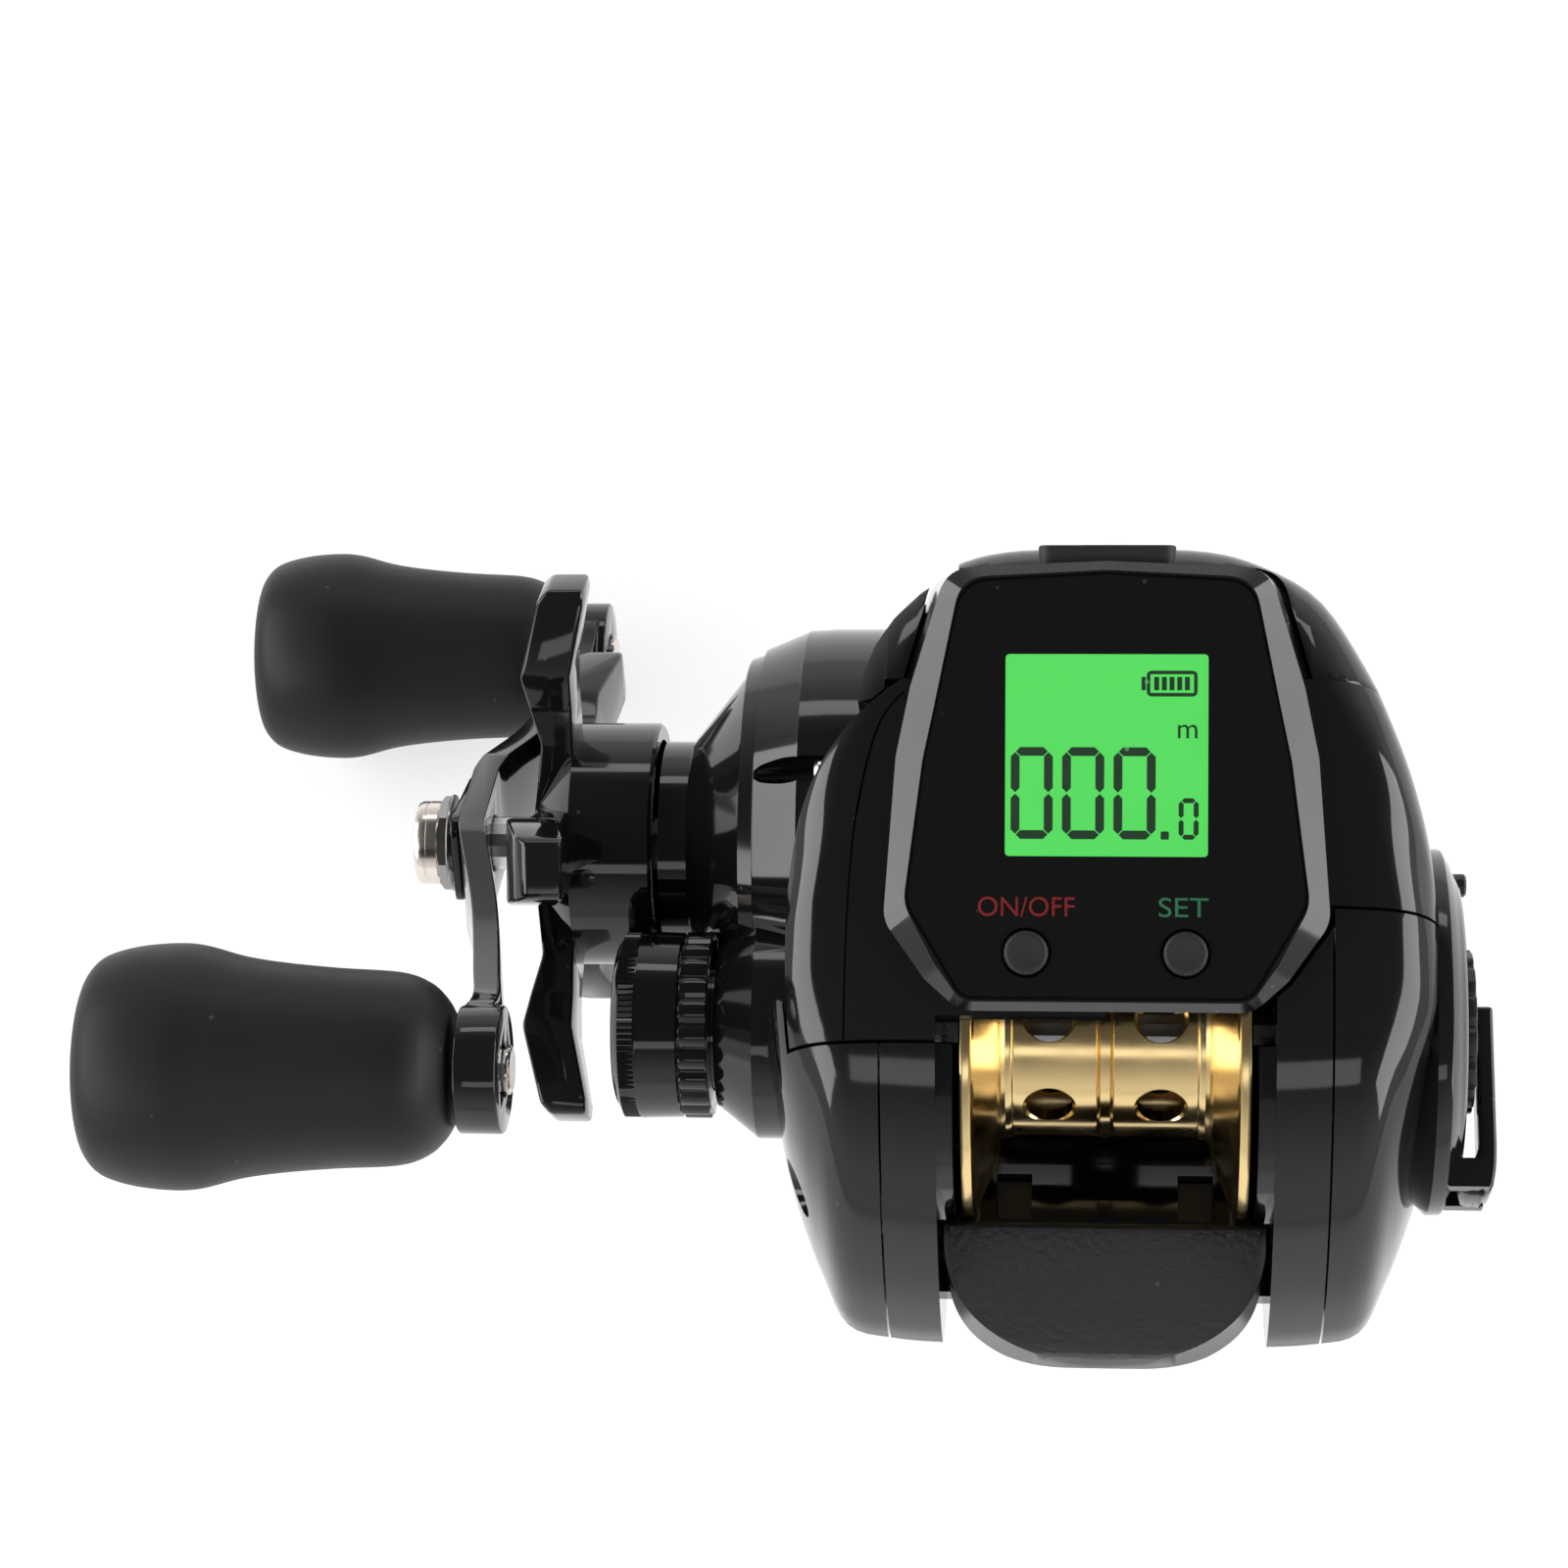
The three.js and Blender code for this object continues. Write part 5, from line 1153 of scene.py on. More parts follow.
class REEL_OT_gear_cover(Operator):
    """Models the gear side cover with its screw pockets and the screws in them"""
    bl_idname = "reel.gear_cover"
    bl_label = "Gear Side Cover"

    def execute(self, context):
        size = in_mm(context.scene.reel_body)
        counter = in_mm(context.scene.reel_counter)
        cover = join(egg("gear_cover_skin", size), house("gear_house"))
        halved(cover, (-STATION["cover"], 0, 0), (-1, 0, 0))
        inner = join(egg("gear_side_room", size, WALL), house("gear_house_room", WALL))
        pipe = rod("cap_pipe", AXES["spool"], -PIPE_END, -LOBE_END + WALL, HOUSE["pipe"], 96)
        posts = [
            common(rod("screw_post", at, -FAR, -end, 3.5, 48), join(egg("whole", size), house("whole_house")))
            for at, seat, end in screw_pockets(size).values()
        ]
        cut(cover, inner)
        join(cover, pipe, *posts)
        for label, (at, seat, end) in screw_pockets(size).items():
            cut(cover, self.pocket(label, at, seat))
        reach = STATION["drag"]
        cut(
            cover, shoulder_room(size, GAP), counter_block("block_room", counter, GAP),
            rod("crank_bore", AXES["crank"], -FAR, -reach, HOUSE["bore"], 96),
            rod("pipe_bore", AXES["spool"], -PIPE_END + WALL, 0, HOUSE["pipe"] - WALL, 96),
            rod("spool_bore", AXES["spool"], -FAR, 0, 1.8, 32),
        )
        room = turned(
            "cap_room", [(-FAR, HOUSE["pipe"]), (-FAR, 9.1), (-LOBE_END - 0.2, 9.1), (-LOBE_END - 0.2, HOUSE["pipe"])],
            AXES["spool"], 96,
        )
        cut(cover, room)
        bevelled(cover, 0.14, 2, 32)
        finish(cover, "reel_body", "gloss_black", "gloss_black", "gear_side_cover", angle=26)
        for label, (at, seat, end) in screw_pockets(size).items():
            self.screw(label, at, -seat - SEAT)
        return {"FINISHED"}

    def pocket(self, label, at, seat):
        """A flared bore at the rear; on the drum a groove that runs out to a point along the sloping band"""
        if label == "rear":
            bore = [(-seat, 0), (-seat, 2.1), (-seat - 1.5, 2.1), (-FAR, 60), (-FAR, 0)]
            return turned("screw_pocket", bore, at, 64)
        tip = -STATION["cone"] + 0.9
        return turned(
            "screw_pocket",
            [
                (-seat, 0), (-seat, 2.05), (-seat - 2.4, 2.0), (-seat - 4.2, 1.55), (tip + 1.2, 0.85), (tip + 0.3, 0.3),
                (tip, 0),
            ],
            at, 64,
        )

    def screw(self, label, at, seat):
        head = turned(
            f"cover_screw_{label}_head",
            [(seat, 0), (seat, 1.6), (seat - 0.6, 1.6), (seat - 0.95, 1.35), (seat - 1.1, 0.9), (seat - 1.1, 0)],
            at, 48,
        )
        y, z = at
        cut(head, block("slot", (seat - 2, seat - 0.5), (y - 0.22, y + 0.22), (z - 1, z + 1)))
        cut(head, block("slot", (seat - 2, seat - 0.5), (y - 1, y + 1), (z - 0.22, z + 0.22)))
        finish(head, "reel_body", "nickel", "steel", f"cover_screw_{label}")


class REEL_OT_palm_cover(Operator):
    """Models the palm side cover with its round plate and lever lugs"""
    bl_idname = "reel.palm_cover"
    bl_label = "Palm Side Cover"

    def execute(self, context):
        size = in_mm(context.scene.reel_body)
        counter = in_mm(context.scene.reel_counter)
        axis = AXES["spool"]
        edge, face, radius = size.palm_width - 0.9, size.palm_width + 2, PLATE_RADIUS
        cover = envelope("palm_cover_skin", size)
        halved(cover, (STATION["cover"], 0, 0), (1, 0, 0))
        halved(cover, (0, size.nose_seam - GAP, 0), (0, -1, 0))
        cut(
            cover, envelope("palm_room", size, WALL), shoulder_room(size, GAP),
            counter_block("block_room", counter, GAP), rod("stem_room", axis, 0, FAR, 7, 72),
        )
        plate = turned(
            "palm_plate",
            [
                (edge - WALL, 2.9), (edge - WALL, radius - WALL), (edge, radius), (face - WALL, radius),
                (face - WALL + 0.25, radius - 0.1), (face - 0.9, radius * 0.93), (face - 0.75, radius * 0.9),
                (face - 0.35, radius * 0.86), (face, radius * 0.82), (face, 3.1), (face - 0.2, 2.9),
            ],
            axis, 160,
        )
        hub = turned("palm_hub", [(15.7, 4.2), (15.7, 5.8), (face - WALL, 5.8), (face - WALL, 4.2)], axis, 64)
        join(cover, plate, hub)
        x, y = size.palm_width + LEVER_OUT, LEVER_Y
        cut(
            cover, rod("peg_bore", PEG_AXIS, face - WALL, FAR, 1.3, 32),
            post("knuckle_room", x, y, axis[1] - 2.66, axis[1] + 2.66, 2.15, 44),
        )
        lugs = together(self.lugs(edge, x + 1.35))
        join(cover, cut(lugs, post("pin_bore", x, y, axis[1] - 4.2, axis[1] + 4.2, 1.0)))
        bevelled(cover, 0.16, 2, 34)
        finish(cover, "reel_body", "gloss_black", "gloss_black", "palm_side_cover", angle=28)
        return {"FINISHED"}

    def lugs(self, edge, top):
        """The two lugs that hold the lever's pin"""
        z = AXES["spool"][1]
        made = []
        for side in (-1, 1):
            zs = sorted((z + side * 2.7, z + side * 4.3))
            made.append(block("lever_lug", (edge, top), (LEVER_Y - 1.35, LEVER_Y + 1.35), zs))
        return made


class REEL_OT_frame(Operator):
    """Models the frame: two side walls, the pan under the spool and the cross bars"""
    bl_idname = "reel.frame"
    bl_label = "Frame"

    def execute(self, context):
        size = in_mm(context.scene.reel_body)
        counter = in_mm(context.scene.reel_counter)
        inner, outer = size.frame_inner, size.frame_outer
        axis = AXES["spool"]
        roof = (42.9, size.top + 9)
        walls = envelope("frame_skin", size)
        halved(walls, (-outer, 0, 0), (1, 0, 0))
        halved(walls, (outer, 0, 0), (-1, 0, 0))
        cut(walls, block("between", (-inner, inner), (-FAR, FAR), (-FAR, FAR)))
        base = envelope("frame_base", size, 0.02)
        common(base, block("base_room", (-inner - 2, inner + 2), (-FAR, 22), (-FAR, 6.1)))
        pan = rod("frame_pan", axis, -inner - 3, inner + 3, SPOOL_ROOM + 1.8, 160)
        common(pan, block("pan_room", (-FAR, FAR), (-FAR, axis[0] - 4), (-FAR, 11)))
        join(base, pan)
        for side, low, high in (("gear", -10.4, -7), ("palm", 7, 10.4)):
            cut(base, block("drain", (low, high), (-19.5, -14.5), (-FAR, 13)))
            # A grey sheet set in each drain: painted shade standing in for the floor in shadow seen through the opening
            insert = envelope(f"{side}_drain_plug", size, 0.8)
            common(insert, block("plug_room", (low - 0.1, high + 0.1), (-19.6, -14.4), (-FAR, 6)))
            finish(insert, "reel_body", "plug_grey", "satin_black", angle=30)
        join(
            walls, base,
            block("rear_bar", (-inner - 1, inner + 1), (-26.5, -23.5), (6.9, 9.9)),
            block("top_bar", (-inner - 1, inner + 1), (13, 16), (37, 40)),
        )
        nose = block("nose_room", (-FAR, FAR), (size.nose_seam - GAP, FAR), (-FAR, FAR))
        skin_room = join(shoulder_room(size, GAP), nose)
        cut(skin_room, envelope("frame_inside", size, WALL + GAP))
        cut(
            walls, rod("spool_room", axis, -inner + GAP, inner - GAP, SPOOL_ROOM, 128), skin_room,
            block("gear_roof_room", (-outer - 3, 0), (size.gear_seam, size.nose_seam + 3), roof),
            block("palm_roof_room", (-1, outer + 3), (size.palm_seam, size.nose_seam + 4), roof),
            counter_block("block_room", counter, GAP),
            rod("palm_mouth", axis, 0, outer + 9, 17.8, 128),
            rod("spool_bearing_seat", axis, -FAR, 0, 4.2, 48),
            rod("crank_bore", AXES["crank"], -FAR, 0, 3.4, 48),
            rod("worm_bore", AXES["worm"], -FAR, FAR, 2.5, 48),
            rod("guide_rod_bore", AXES["guide_rod"], -FAR, FAR, 1.4, 32),
            *[post("foot_screw_bore", 0, y, 0, FAR, 1.3, 32) for y in (-9, 9)],
        )
        room = block("cheek_room", (-inner - 1, inner + 1), (-23.3, 10), (6, 42.6))
        for side in (-1, 1):
            low, high = sorted((side * (inner - 1.5), side * (inner + 0.5)))
            cheek = turned("cheek", [(low, 17.9), (low, 20.6), (high, 20.6), (high, 17.9)], axis, 128)
            join(walls, common(cheek, copied(room, "cheek_room_copy"), egg("cheek_egg", size, 0.1)))
        remove(room)
        finish(walls, "reel_body", "gloss_black", "satin_black", "frame", angle=28)
        return {"FINISHED"}


# Counter face, spool and controls


class REEL_OT_counter_face(Operator):
    """Models the fascia, the digits on the screen, the legends and both push buttons"""
    bl_idname = "reel.counter_face"
    bl_label = "Counter Face"

    def execute(self, context):
        counter = in_mm(context.scene.reel_counter)
        lens = counter.screen / 2
        middle = counter.length * 0.568
        panel = display_slab("fascia_glass", counter, GLASS_SHARES, 0, -1.3, -0.1)
        reach = lens - SEAT
        window = box(-reach, middle - reach, reach, middle + reach, 0.4)
        cut(panel, on_display(prism("screen_window", window, -2, 2, "Z")))
        for side in (-1, 1):
            hole = post("button_hole", side * counter.button_x, BUTTON_Y, -2, 2, counter.button + SEAT + 0.08, 72)
            cut(panel, on_display(hole))
        finish(panel, "reel_body", "glass_black", "gloss_black", "fascia_panel", angle=30)
        self.digits(counter, lens, middle)
        self.legend("power_legend", "ON/OFF", -counter.button_x, 8.5, "red_print")
        self.legend("set_legend", "SET", counter.button_x - 0.2, 4.35, "green_print")
        for label, side in (("power", -1), ("set", 1)):
            self.button(label, side, counter)
        return {"FINISHED"}

    def bar(self, x, s, long, wide, upright):
        """One bar of a digit: a flat hexagon"""
        a, b = long / 2, wide / 2
        outline = [(-a, 0), (-a + b, b), (a - b, b), (a, 0), (a - b, -b), (-a + b, -b)]
        if upright:
            outline = [(v, u) for u, v in outline]
        return prism("bar", [(x + u, s + v) for u, v in outline], *INK, "Z")

    def nought(self, x, s, wide, high, thick):
        """The six lit bars of a nought whose lower left corner is at x, s, clockwise from the top"""
        half = (high - thick) / 2
        left, right = x + thick / 2, x + wide - thick / 2
        low, mid, top = s + thick / 2, s + thick / 2 + half, s + high - thick / 2
        across, up = wide - thick - 0.12, half - 0.12
        bars = [
            ((left + right) / 2, top, across, False), (right, (mid + top) / 2, up, True),
            (right, (low + mid) / 2, up, True), ((left + right) / 2, low, across, False),
            (left, (low + mid) / 2, up, True), (left, (mid + top) / 2, up, True),
        ]
        return [self.bar(bx, bs, long, thick, upright) for bx, bs, long, upright in bars]

    def digits(self, counter, lens, middle):
        """Three noughts, a point and a small nought, a charge symbol and the unit"""
        low = middle + lens - 0.906 * counter.screen
        made = []
        for share in (0.038, 0.286, 0.534):
            made += self.nought(-lens + share * counter.screen, low, 3.7, counter.digit, 0.78)
        made += self.nought(-lens + 0.848 * counter.screen, low, 1.75, 3.65, 0.44)
        dot = -lens + 0.762 * counter.screen
        made.append(prism("point", box(dot, low, dot + 0.72, low + 0.72, 0.1), *INK, "Z"))
        left, right = -lens + 0.692 * counter.screen, -lens + 0.937 * counter.screen
        base, head = middle + lens - 0.215 * counter.screen, middle + lens - 0.09 * counter.screen
        case = prism("charge_case", box(left, base, right, head, 0.5), *INK, "Z")
        cut(case, block("case_room", (left + 0.32, right - 0.32), (base + 0.32, head - 0.32), (-1, 1)))
        made += [case, block("charge_end", (left - 0.45, left - 0.08), (base + 0.55, head - 0.55), INK)]
        step = (right - left - 1.1) / 5
        for i in range(5):
            x = left + 0.65 + i * step
            made.append(block("charge_bar", (x, x + step * 0.66), (base + 0.55, head - 0.55), INK))
        unit = self.words("unit", "m", -lens + 0.89 * counter.screen, low + 8.9, 1.2, None, -0.265)
        ink = on_display(together([*made, unit]))
        ink.name = "screen_digits"
        finish(ink, "reel_body", "screen_ink", "satin_black")

    def words(self, name, text, x, s, high, wide, level):
        """Text as a thin solid in the counter's plane, centred on x and standing on s"""
        extrude, thick = 0.02, 0.025
        deselect()
        bpy.ops.object.text_add()
        obj = bpy.context.object
        obj.name = name
        obj.data.body = text
        obj.data.extrude = extrude
        obj.data.resolution_u = 6
        bpy.ops.object.convert(target="MESH")
        corners = [v.co for v in obj.data.vertices]
        x0, x1 = min(c.x for c in corners), max(c.x for c in corners)
        y0, y1 = min(c.y for c in corners), max(c.y for c in corners)
        tall = high * MM / (y1 - y0)
        broad = wide * MM / (x1 - x0) if wide else tall
        obj.scale = (broad, tall, thick * MM / extrude)
        obj.location = (x * MM - (x0 + x1) / 2 * broad, s * MM - y0 * tall, 0)
        place_in_mesh(obj)
        obj.location = (0, 0, level * MM)
        return tidy(place_in_mesh(obj), 0.0005)

    def legend(self, name, text, x, wide, look):
        """A printed legend over a push button"""
        obj = on_display(self.words(name, text, x, 8.4, 1.72, wide, -0.08))
        finish(obj, "reel_body", look, "gloss_black")

    def button(self, label, side, counter):
        """A rubber button with a shallow dish in its top"""
        r = counter.button
        key = turned(
            f"{label}_button_top",
            [
                (-2.1, 0), (-2.1, 2.6), (-1.55, 2.6), (-1.55, r), (0.15, r), (0.32, r - 0.1), (0.4, r - 0.3),
                (0.38, r - 0.6), (0.28, 0.6), (0.26, 0),
            ],
            (0, 0), 64,
        )
        moved(key, on_end(side * counter.button_x, BUTTON_Y))
        finish(on_display(key), f"{label}_key", "soft_rubber", "soft_rubber", f"{label}_button", angle=40)


class REEL_OT_port_cover(Operator):
    """Models the rubber flap over the charging socket"""
    bl_idname = "reel.port_cover"
    bl_label = "Port Cover"

    def execute(self, context):
        counter = in_mm(context.scene.reel_counter)
        front = counter.length + 1.5
        outline = rounded([(-6.1, -9, 1), (6.1, -9, 1), (6.1, -2.4, 1.2), (-6.1, -2.4, 1.2)])
        flap = prism("port_flap_skin", outline, counter.length - 0.4, front, "Y")
        lip = box(-2.4, -3.6, 2.4, -2.7, 0.3)
        cut(flap, prism("nail_groove", lip, front - 0.5, front + 1, "Y"))
        insert = block("port_plug", (-3.9, 3.9), (counter.length - 2, counter.length - 0.2), (-6.7, -4.7))
        join(flap, insert)
        bevelled(flap, 0.55, 4, 40)
        finish(on_display(flap), "port_flap", "soft_rubber", "soft_rubber", "port_cover", angle=35)
        return {"FINISHED"}


class REEL_OT_spool(Operator):
    """Models the ported spool with its dished flanges"""
    bl_idname = "reel.spool"
    bl_label = "Spool"

    def execute(self, context):
        size = in_mm(context.scene.reel_spool)
        wide, top, hub = size.half_width, size.flange, size.hub
        inner = wide - size.dish
        half = [
            (0.9, 1.55), (0.9, 8.6), (wide - 1.2, 8.6), (wide - 0.15, top - 2.6), (wide, top - 2.1),
            (wide, top - 0.35), (wide - 0.15, top - 0.08), (wide - 0.4, top), (wide - 0.8, top),
            (wide - 1.05, top - 0.08), (wide - 1.2, top - 0.35), (wide - 1.35, top - 1.6), (inner + 0.35, hub + 2.4),
            (inner + 0.1, hub + 1.0), (inner - 0.1, hub + 0.55), (inner - 0.45, hub + 0.3), (inner - 0.9, hub + 0.28),
            (inner - 1.05, hub + 0.22), (inner - 1.15, hub + 0.05), (inner - 1.3, hub), (0.95, hub),
            (0.8, hub - 0.03), (0.7, hub - 0.12), (0.45, hub - 0.5),
        ]
        profile = [*half, *[(-x, r) for x, r in reversed(half)]]
        drum = turned("spool_drum", profile, AXES["spool"], 160)
        hole = post("hole", 5.1, 0, 6.5, hub + 2, size.hole, 48)
        flare = turned(
            "flare",
            [(hub - 0.62, 0), (hub - 0.62, size.hole - 0.3), (hub + 0.13, size.hole + 0.45), (hub + 0.13, 0)],
            (0, 0), 52,
        )
        moved(flare, on_end(5.1, 0))
        join(hole, flare)
        y, z = AXES["spool"]
        holes = []
        for i in range(size.holes):
            turn = Matrix.Translation((0, y, z)) @ Matrix.Rotation(radians(12 + 360 * i / size.holes), 4, "X")
            for shift in (0, -10.2):
                holes.append(moved(copied(hole, "hole_copy"), turn @ Matrix.Translation((shift, 0, 0))))
        remove(hole)
        cut(drum, together(holes))
        finish(drum, "spool_body", "gold_anodised", "gold_anodised", "spool", angle=30)
        return {"FINISHED"}


class REEL_OT_thumb_bar(Operator):
    """Models the thumb bar with its rounded lip"""
    bl_idname = "reel.thumb_bar"
    bl_label = "Thumb Bar"

    def execute(self, context):
        size = in_mm(context.scene.reel_body)
        front, wide, long, high, low = -23.8, size.frame_inner - 0.4, 11.4, 12.8, 14
        top_shares = [
            (-0.03, 0.99), (-0.1, 1), (-0.5, 0.8), (-0.9, 0.5), (-0.98, 0.36), (-1, 0.22), (-0.95, 0.08), (-0.85, 0),
        ]
        plan_shares = [
            (1, -0.22), (0.985, -0.34), (0.95, -0.47), (0.89, -0.6), (0.8, -0.72), (0.67, -0.83), (0.5, -0.92),
            (0.28, -0.98), (0, -1),
        ]
        top = smooth([(front + a * long, low + b * high) for a, b in top_shares], 28)
        side = [(front, low + 0.25 * high), (front, low + 0.96 * high), *top, (front - 0.3 * long, low + 0.02 * high)]
        half = [(wide, front), *smooth([(a * wide, front + b * long) for a, b in plan_shares], 36)]
        plan = [*half, *[(-x, y) for x, y in reversed(half[:-1])]]
        bar = prism("thumb_bar_body", side, -wide, wide)
        common(bar, prism("thumb_plan", plan, 0, FAR, "Z"))
        bevelled(bar, 0.45, 4, 38)
        finish(bar, "thumb", "satin_black", "satin_black", "thumb_bar", angle=34)
        raised = [(y, z + 0.14) for y, z in side[1:-1]]
        pad = prism("thumb_bar_grip", [*raised, *[(y + 0.3, z - 1.2) for y, z in reversed(raised)]], -wide, wide)
        inner = [(x * 0.965, front - 0.7 + (y - front) * 0.915) for x, y in plan]
        common(pad, prism("grip_plan", inner, 0, FAR, "Z"))
        finish(pad, "thumb", "grip_black", "satin_black", angle=40)
        return {"FINISHED"}


class REEL_OT_side_controls(Operator):
    """Models the brake dial, its peg and the side plate's locking lever"""
    bl_idname = "reel.side_controls"
    bl_label = "Brake Dial and Lock Lever"

    def execute(self, context):
        size = in_mm(context.scene.reel_body)
        axis = AXES["spool"]
        face = size.palm_width + 2
        dips, steps, radius, dip = 14, 12, 7.6, 0.55
        wave = [radius - max(0.0, cos(2 * pi * i / steps)) ** 2 * dip for i in range(dips * steps)]
        dial = prism("brake_dial_knob", wavy(wave, axis), face + GAP, face + GAP + 1.1)
        cut(dial, rod("dial_dish", axis, face + GAP + 0.85, face + 4, 5.4, 96))
        y, z = axis
        join(
            dial,
            block("dial_mark", (face + GAP + 0.6, face + GAP + 1.05), (y - 0.35, y + 0.35), (z + 1.5, z + 6.6)),
            rod("dial_stem", axis, 21.5, face + GAP + 0.5, 2.6, 64),
            rod("magnet_carrier", axis, 21.5, size.palm_width - 3, 3.6, 64),
        )
        bevelled(dial, 0.14, 2, 50)
        finish(dial, "brake", "satin_black", "satin_black", "brake_dial", angle=35)
        peg = turned(
            "dial_peg_head",
            [
                (face - 1.5, 0), (face - 1.5, 1.1), (face + 1.15, 1.1), (face + 1.35, 0.9), (face + 1.4, 0.6),
                (face + 1.4, 0),
            ],
            PEG_AXIS, 48,
        )
        finish(peg, "reel_body", "satin_black", "satin_black", "dial_peg")
        self.lever(size)
        return {"FINISHED"}

    def lever(self, size):
        """The J-shaped lever on its knuckle and pin"""
        x, y, z = size.palm_width + LEVER_OUT, LEVER_Y, AXES["spool"][1]
        low = x + 0.7
        outer = low + 1.6
        side = [
            (x - 0.8, y), (x + 0.6, y - 1.5), (x + 1.6, y - 1.2),
            *smooth([(x + 1.9, y - 0.6), (outer - 0.1, y + 1.2), (outer, y + 3.2)], 10),
            (outer, y + 16.4), (low, y + 16.4), (low, y + 3.2),
            *smooth([(low, y + 3.2), (low - 0.3, y + 2.2), (x, y + 1.6)], 8)[1:],
        ]
        bail = prism("lock_lever_bail", side, z - 2.4, z + 2.4, "Z")
        knuckle = post("lever_knuckle", x, y, z - 2.4, z + 2.4, 1.6, 48)
        join(bail, knuckle, post("lever_pin", x, y, z - 4, z + 4, 0.8, 32))
        bevelled(bail, 0.35, 3, 40)
        finish(bail, "lock_lever", "gloss_black", "satin_black", "side_lock_lever", angle=35)


class REEL_OT_foot(Operator):
    """Models the reel foot with its two screws"""
    bl_idname = "reel.foot"
    bl_label = "Reel Foot"

    def execute(self, context):
        end, wide, thick, tip, stem, top = 30, 6.6, 2.6, 1.1, 26, 3.7
        plan = rounded([
            (-wide, -stem / 2, 2), (-wide * 0.6, -end, 2), (wide * 0.6, -end, 2), (wide, -stem / 2, 2),
            (wide, stem / 2, 2), (wide * 0.6, end, 2), (-wide * 0.6, end, 2), (-wide, stem / 2, 2),
        ])
        side = [
            (-end, 0), (end, 0), (end, tip), (stem / 2 + thick, thick), (stem / 2, top), (-stem / 2, top),
            (-stem / 2 - thick, thick), (-end, tip),
        ]
        foot = prism("reel_foot_blade", plan, 0, top, "Z")
        common(foot, prism("foot_side", side, -wide, wide))
        for y in (-9, 9):
            cut(foot, post("foot_bore", 0, y, -OVERRUN, FAR, 1.3, 32), post("head_sink", 0, y, -OVERRUN, 1.8, 2.3, 48))
        bevelled(foot, 0.25, 3, 30)
        finish(foot, "reel_body", "satin_black", "satin_black", "reel_foot", angle=30)
        for label, y in (("rear", -9), ("front", 9)):
            screw = turned(
                f"foot_screw_{label}_head",
                [(-0.5, 0), (-0.5, 1.8), (-0.75, 2.1), (-1.6, 2.1), (-1.6, 1.1), (-5.8, 1.1), (-5.8, 0)],
                (0, 0), 48,
            )
            for ys, zs in (((-1.4, 1.4), (-0.25, 0.25)), ((-0.25, 0.25), (-1.4, 1.4))):
                cut(screw, block("slot", (-1.1, 0), ys, zs))
            moved(screw, on_end(0, y, 90))
            finish(screw, "reel_body", "steel", "steel", f"foot_screw_{label}")
        return {"FINISHED"}


class REEL_OT_line_guide(Operator):
    """Models the level wind's line guide with its pale eye"""
    bl_idname = "reel.line_guide"
    bl_label = "Line Guide"

    def execute(self, context):
        side = rounded([
            (19.4, 10.4, 1), (27, 10.4, 1), (28, 20.4, 1), (28, 28.4, 1), (27.2, 36, 1), (20, 36, 1),
        ])
        body = prism("line_guide_body", side, -3.6, 3.6)
        eye = box(-1.7, 20.2, 1.7, 28.2, 1.6)
        cut(
            body, prism("eye_seat", eye, -FAR, FAR, "Y"), rod("worm_bore", AXES["worm"], -FAR, FAR, 2.5, 64),
            rod("guide_rod_bore", AXES["guide_rod"], -FAR, FAR, 1.4, 48),
        )
        bevelled(body, 0.3, 3, 40)
        finish(body, "guide", "satin_black", "satin_black", "line_guide", angle=35)
        ring = prism("line_guide_eye", eye, 19.6, 28.2, "Y")
        cut(ring, prism("eye_slot", box(-1, 21, 1, 27.4, 0.9), -FAR, FAR, "Y"))
        bevelled(ring, 0.25, 3, 50)
        finish(ring, "guide", "white_plastic", "white_plastic", angle=40)
        return {"FINISHED"}


class REEL_OT_inner_finishes(Operator):
    """Gives each CAD node that still shows, such as the gears, its own finish"""
    bl_idname = "reel.inner_finishes"
    bl_label = "Inner Parts' Finishes"

    def execute(self, context):
        slots = {part["node"]: part["material_slot"] for part in frame["record"]["subparts"]}
        for name, node in frame["nodes"].items():
            slot = slots.get(name)
            if slot is None:
                raise RuntimeError(f"{name} has no material slot in the record")
            node.data.materials.clear()
            node.data.materials.append(FINISH[slot])
        return {"FINISHED"}


# Stage


def larger(tree, first, second):
    """A socket with the larger of two values"""
    return add(tree, "ShaderNodeMath", [(0, first), (1, second)], operation="MAXIMUM").outputs[0]


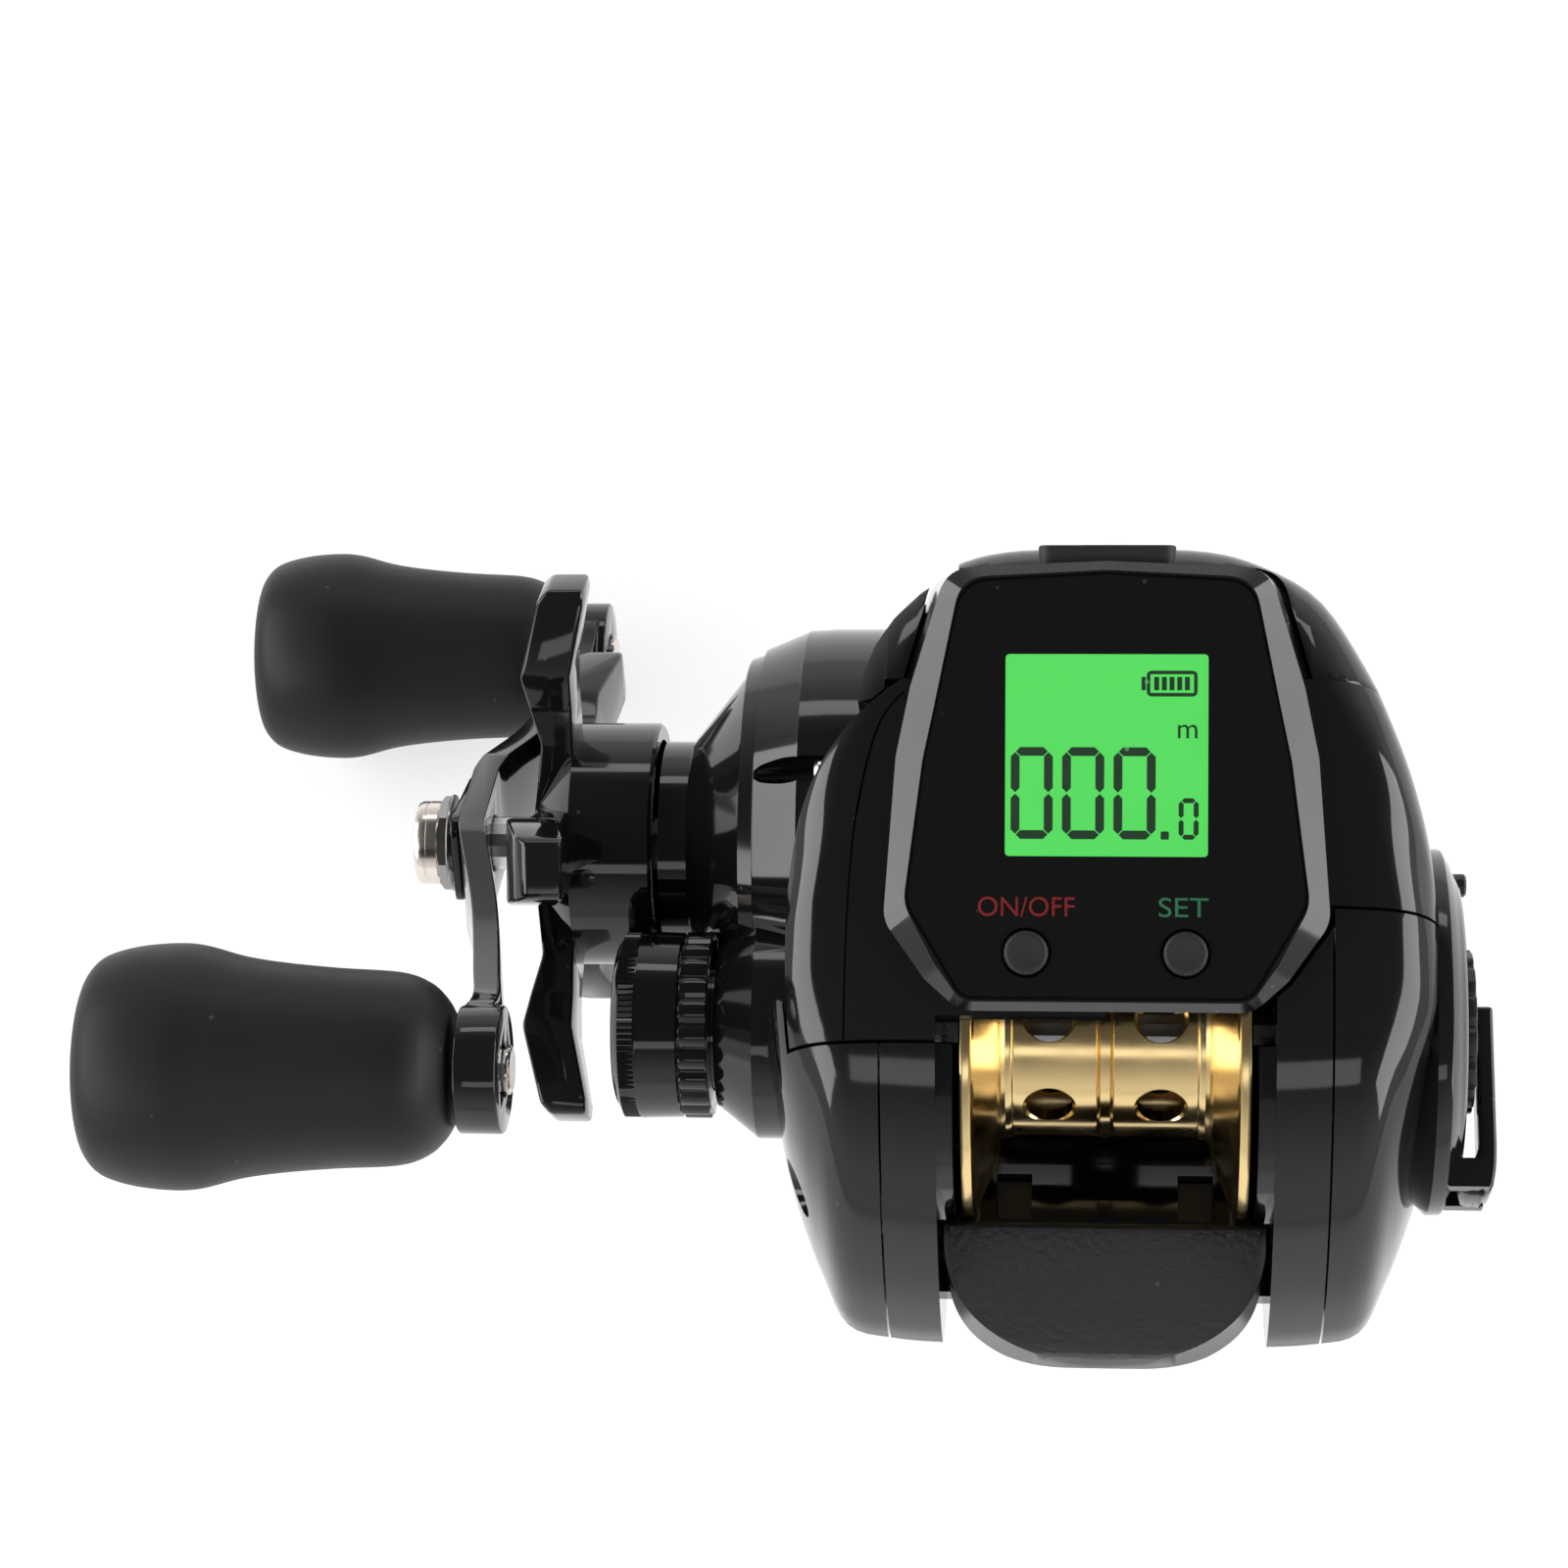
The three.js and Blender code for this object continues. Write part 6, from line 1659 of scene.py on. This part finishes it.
class REEL_OT_stage(Operator):
    """Sets the floor, the soft studio light and the camera"""
    bl_idname = "reel.stage"
    bl_label = "Stage"

    def execute(self, context):
        self.floor()
        self.world(context.scene)
        self.lamp("left_softbox", (-0.58, -0.06, 0.36), (1.0, 0.36), 4.6)
        self.lamp("right_softbox", (0.60, -0.06, 0.32), (1.0, 0.34), 4.6)
        self.lamp("front_softbox", (0.0, 0.62, 0.42), (0.60, 0.12), 2.6)
        self.lamp("rear_softbox", (0.0, -0.44, 0.50), (0.50, 0.10), 1.6)
        self.camera(context.scene)
        context.scene.view_settings.view_transform = "Standard"
        return {"FINISHED"}

    def floor(self):
        deselect()
        low = CAD_BOX[0][2] - 0.0015
        bpy.ops.mesh.primitive_plane_add(size=8, location=(0, 0, low))
        floor = place_in_mesh(bpy.context.object)
        floor.name = "studio_floor"
        material = bpy.data.materials.new("Studio Floor")
        material.use_nodes = True
        tree = material.node_tree
        tree.nodes.remove(tree.nodes["Principled BSDF"])
        path = tree.nodes.new("ShaderNodeLightPath")
        seen = path.outputs["Is Camera Ray"]
        for ray in ("Is Glossy Ray", "Is Transmission Ray"):
            seen = larger(tree, seen, path.outputs[ray])
        glow = add(tree, "ShaderNodeEmission", [("Strength", seen)])
        glow.inputs["Color"].default_value = (0.62, 0.62, 0.62, 1)
        paint = add(tree, "ShaderNodeBsdfDiffuse")
        paint.inputs["Color"].default_value = (0.5, 0.5, 0.5, 1)
        both = add(tree, "ShaderNodeAddShader")
        tree.links.new(paint.outputs[0], both.inputs[0])
        tree.links.new(glow.outputs[0], both.inputs[1])
        tree.links.new(both.outputs[0], tree.nodes["Material Output"].inputs["Surface"])
        floor.data.materials.append(material)

    def world(self, scene):
        """White where the camera looks past the floor, and a studio that darkens overhead"""
        world = bpy.data.worlds.new("Studio")
        scene.world = world
        world.use_nodes = True
        tree = world.node_tree
        background = tree.nodes["Background"]
        path = tree.nodes.new("ShaderNodeLightPath")
        coordinates = tree.nodes.new("ShaderNodeTexCoord")
        height = add(tree, "ShaderNodeSeparateXYZ", [(0, coordinates.outputs["Generated"])])
        shade = ranged(tree, height.outputs["Z"], 0.85, 0.10, 0.15, 0.75)
        background.inputs["Color"].default_value = (1, 1, 1, 1)
        tree.links.new(larger(tree, shade, path.outputs["Is Camera Ray"]), background.inputs["Strength"])

    def lamp(self, name, at, size, radiance):
        """A rectangular softbox that faces the reel"""
        light = bpy.data.lights.new(name, "AREA")
        light.shape = "RECTANGLE"
        light.size, light.size_y = size
        light.energy = radiance * pi * size[0] * size[1]
        lamp = bpy.data.objects.new(name, light)
        bpy.context.collection.objects.link(lamp)
        lamp.location = at
        aim = Vector((-0.01, 0.0, 0.03)) - Vector(at)
        lamp.rotation_euler = aim.to_track_quat("-Z", "Y").to_euler()

    def camera(self, scene):
        """The photograph's viewpoint: from behind the reel and steeply above it"""
        elevation, distance, roll = radians(70), 0.385, radians(0.3)
        # Focal length, rise of the eye, and aim across and up, in points of the picture
        focal, rise, across, up = 4043.0, 12, -329, 50
        ahead = Vector((0, cos(elevation), -sin(elevation)))
        upward = Vector((0, sin(elevation), cos(elevation)))
        pivot = Vector((0, AXES["crank"][0] * MM, AXES["crank"][1] * MM))
        at = pivot - distance * ahead + upward * (rise / focal * distance)
        view = (ahead + Vector((1, 0, 0)) * (across / focal) + upward * (up / focal)).normalized()
        data = bpy.data.cameras.new("photo_camera")
        data.lens = 90.97
        data.sensor_width = 36
        data.clip_start = 0.01
        camera = bpy.data.objects.new("photo_camera", data)
        bpy.context.collection.objects.link(camera)
        side = view.cross(upward).normalized()
        top = side.cross(view).normalized()
        side, top = side * cos(roll) + top * sin(roll), top * cos(roll) - side * sin(roll)
        turn = Matrix((side, top, -view)).transposed().to_4x4()
        camera.matrix_world = Matrix.Translation(at) @ turn
        scene.camera = camera


# Add-on

PIECES = [
    REEL_OT_knobs, REEL_OT_handle, REEL_OT_star, REEL_OT_cast_cap, REEL_OT_front_cover, REEL_OT_counter,
    REEL_OT_gear_cover, REEL_OT_palm_cover, REEL_OT_frame, REEL_OT_counter_face, REEL_OT_port_cover, REEL_OT_spool,
    REEL_OT_thumb_bar, REEL_OT_side_controls, REEL_OT_foot, REEL_OT_line_guide, REEL_OT_inner_finishes,
]
GROUPS = {
    "reel_body": BodySizes, "reel_counter": CounterSizes, "reel_spool": SpoolSizes, "reel_crank": CrankSizes,
    "reel_finishes": Finishes,
}


class REEL_OT_finishes(Operator):
    """Makes every finish from the chosen colours"""
    bl_idname = "reel.finishes"
    bl_label = "Finishes"

    def execute(self, context):
        colours = SimpleNamespace(**{
            name: tuple(getattr(context.scene.reel_finishes, name)) for name in Finishes.__annotations__
        })
        FINISH.update(make_finishes(colours))
        return {"FINISHED"}


class REEL_PT_sidebar(Panel):
    """Lists the reel's pieces in the sidebar"""
    bl_idname = "REEL_PT_sidebar"
    bl_label = "Baitcasting Reel"
    bl_space_type = "VIEW_3D"
    bl_region_type = "UI"
    bl_category = "Reel"

    def draw(self, context):
        column = self.layout.column()
        for operator in STEPS_IN_ORDER:
            column.operator(operator.bl_idname)
        for name, group in GROUPS.items():
            for value in group.__annotations__:
                column.prop(getattr(context.scene, name), value)


STEPS_IN_ORDER = [REEL_OT_finishes, *PIECES, REEL_OT_stage]
CLASSES = [*GROUPS.values(), *STEPS_IN_ORDER, REEL_PT_sidebar]


def register():
    for cls in CLASSES:
        bpy.utils.register_class(cls)
    for name, group in GROUPS.items():
        setattr(bpy.types.Scene, name, PointerProperty(type=group))


def unregister():
    for name in GROUPS:
        delattr(bpy.types.Scene, name)
    for cls in reversed(CLASSES):
        bpy.utils.unregister_class(cls)


def main():
    register()
    for operator in STEPS_IN_ORDER:
        group, name = operator.bl_idname.split(".")
        getattr(getattr(bpy.ops, group), name)()


if __name__ == "__main__":
    main()
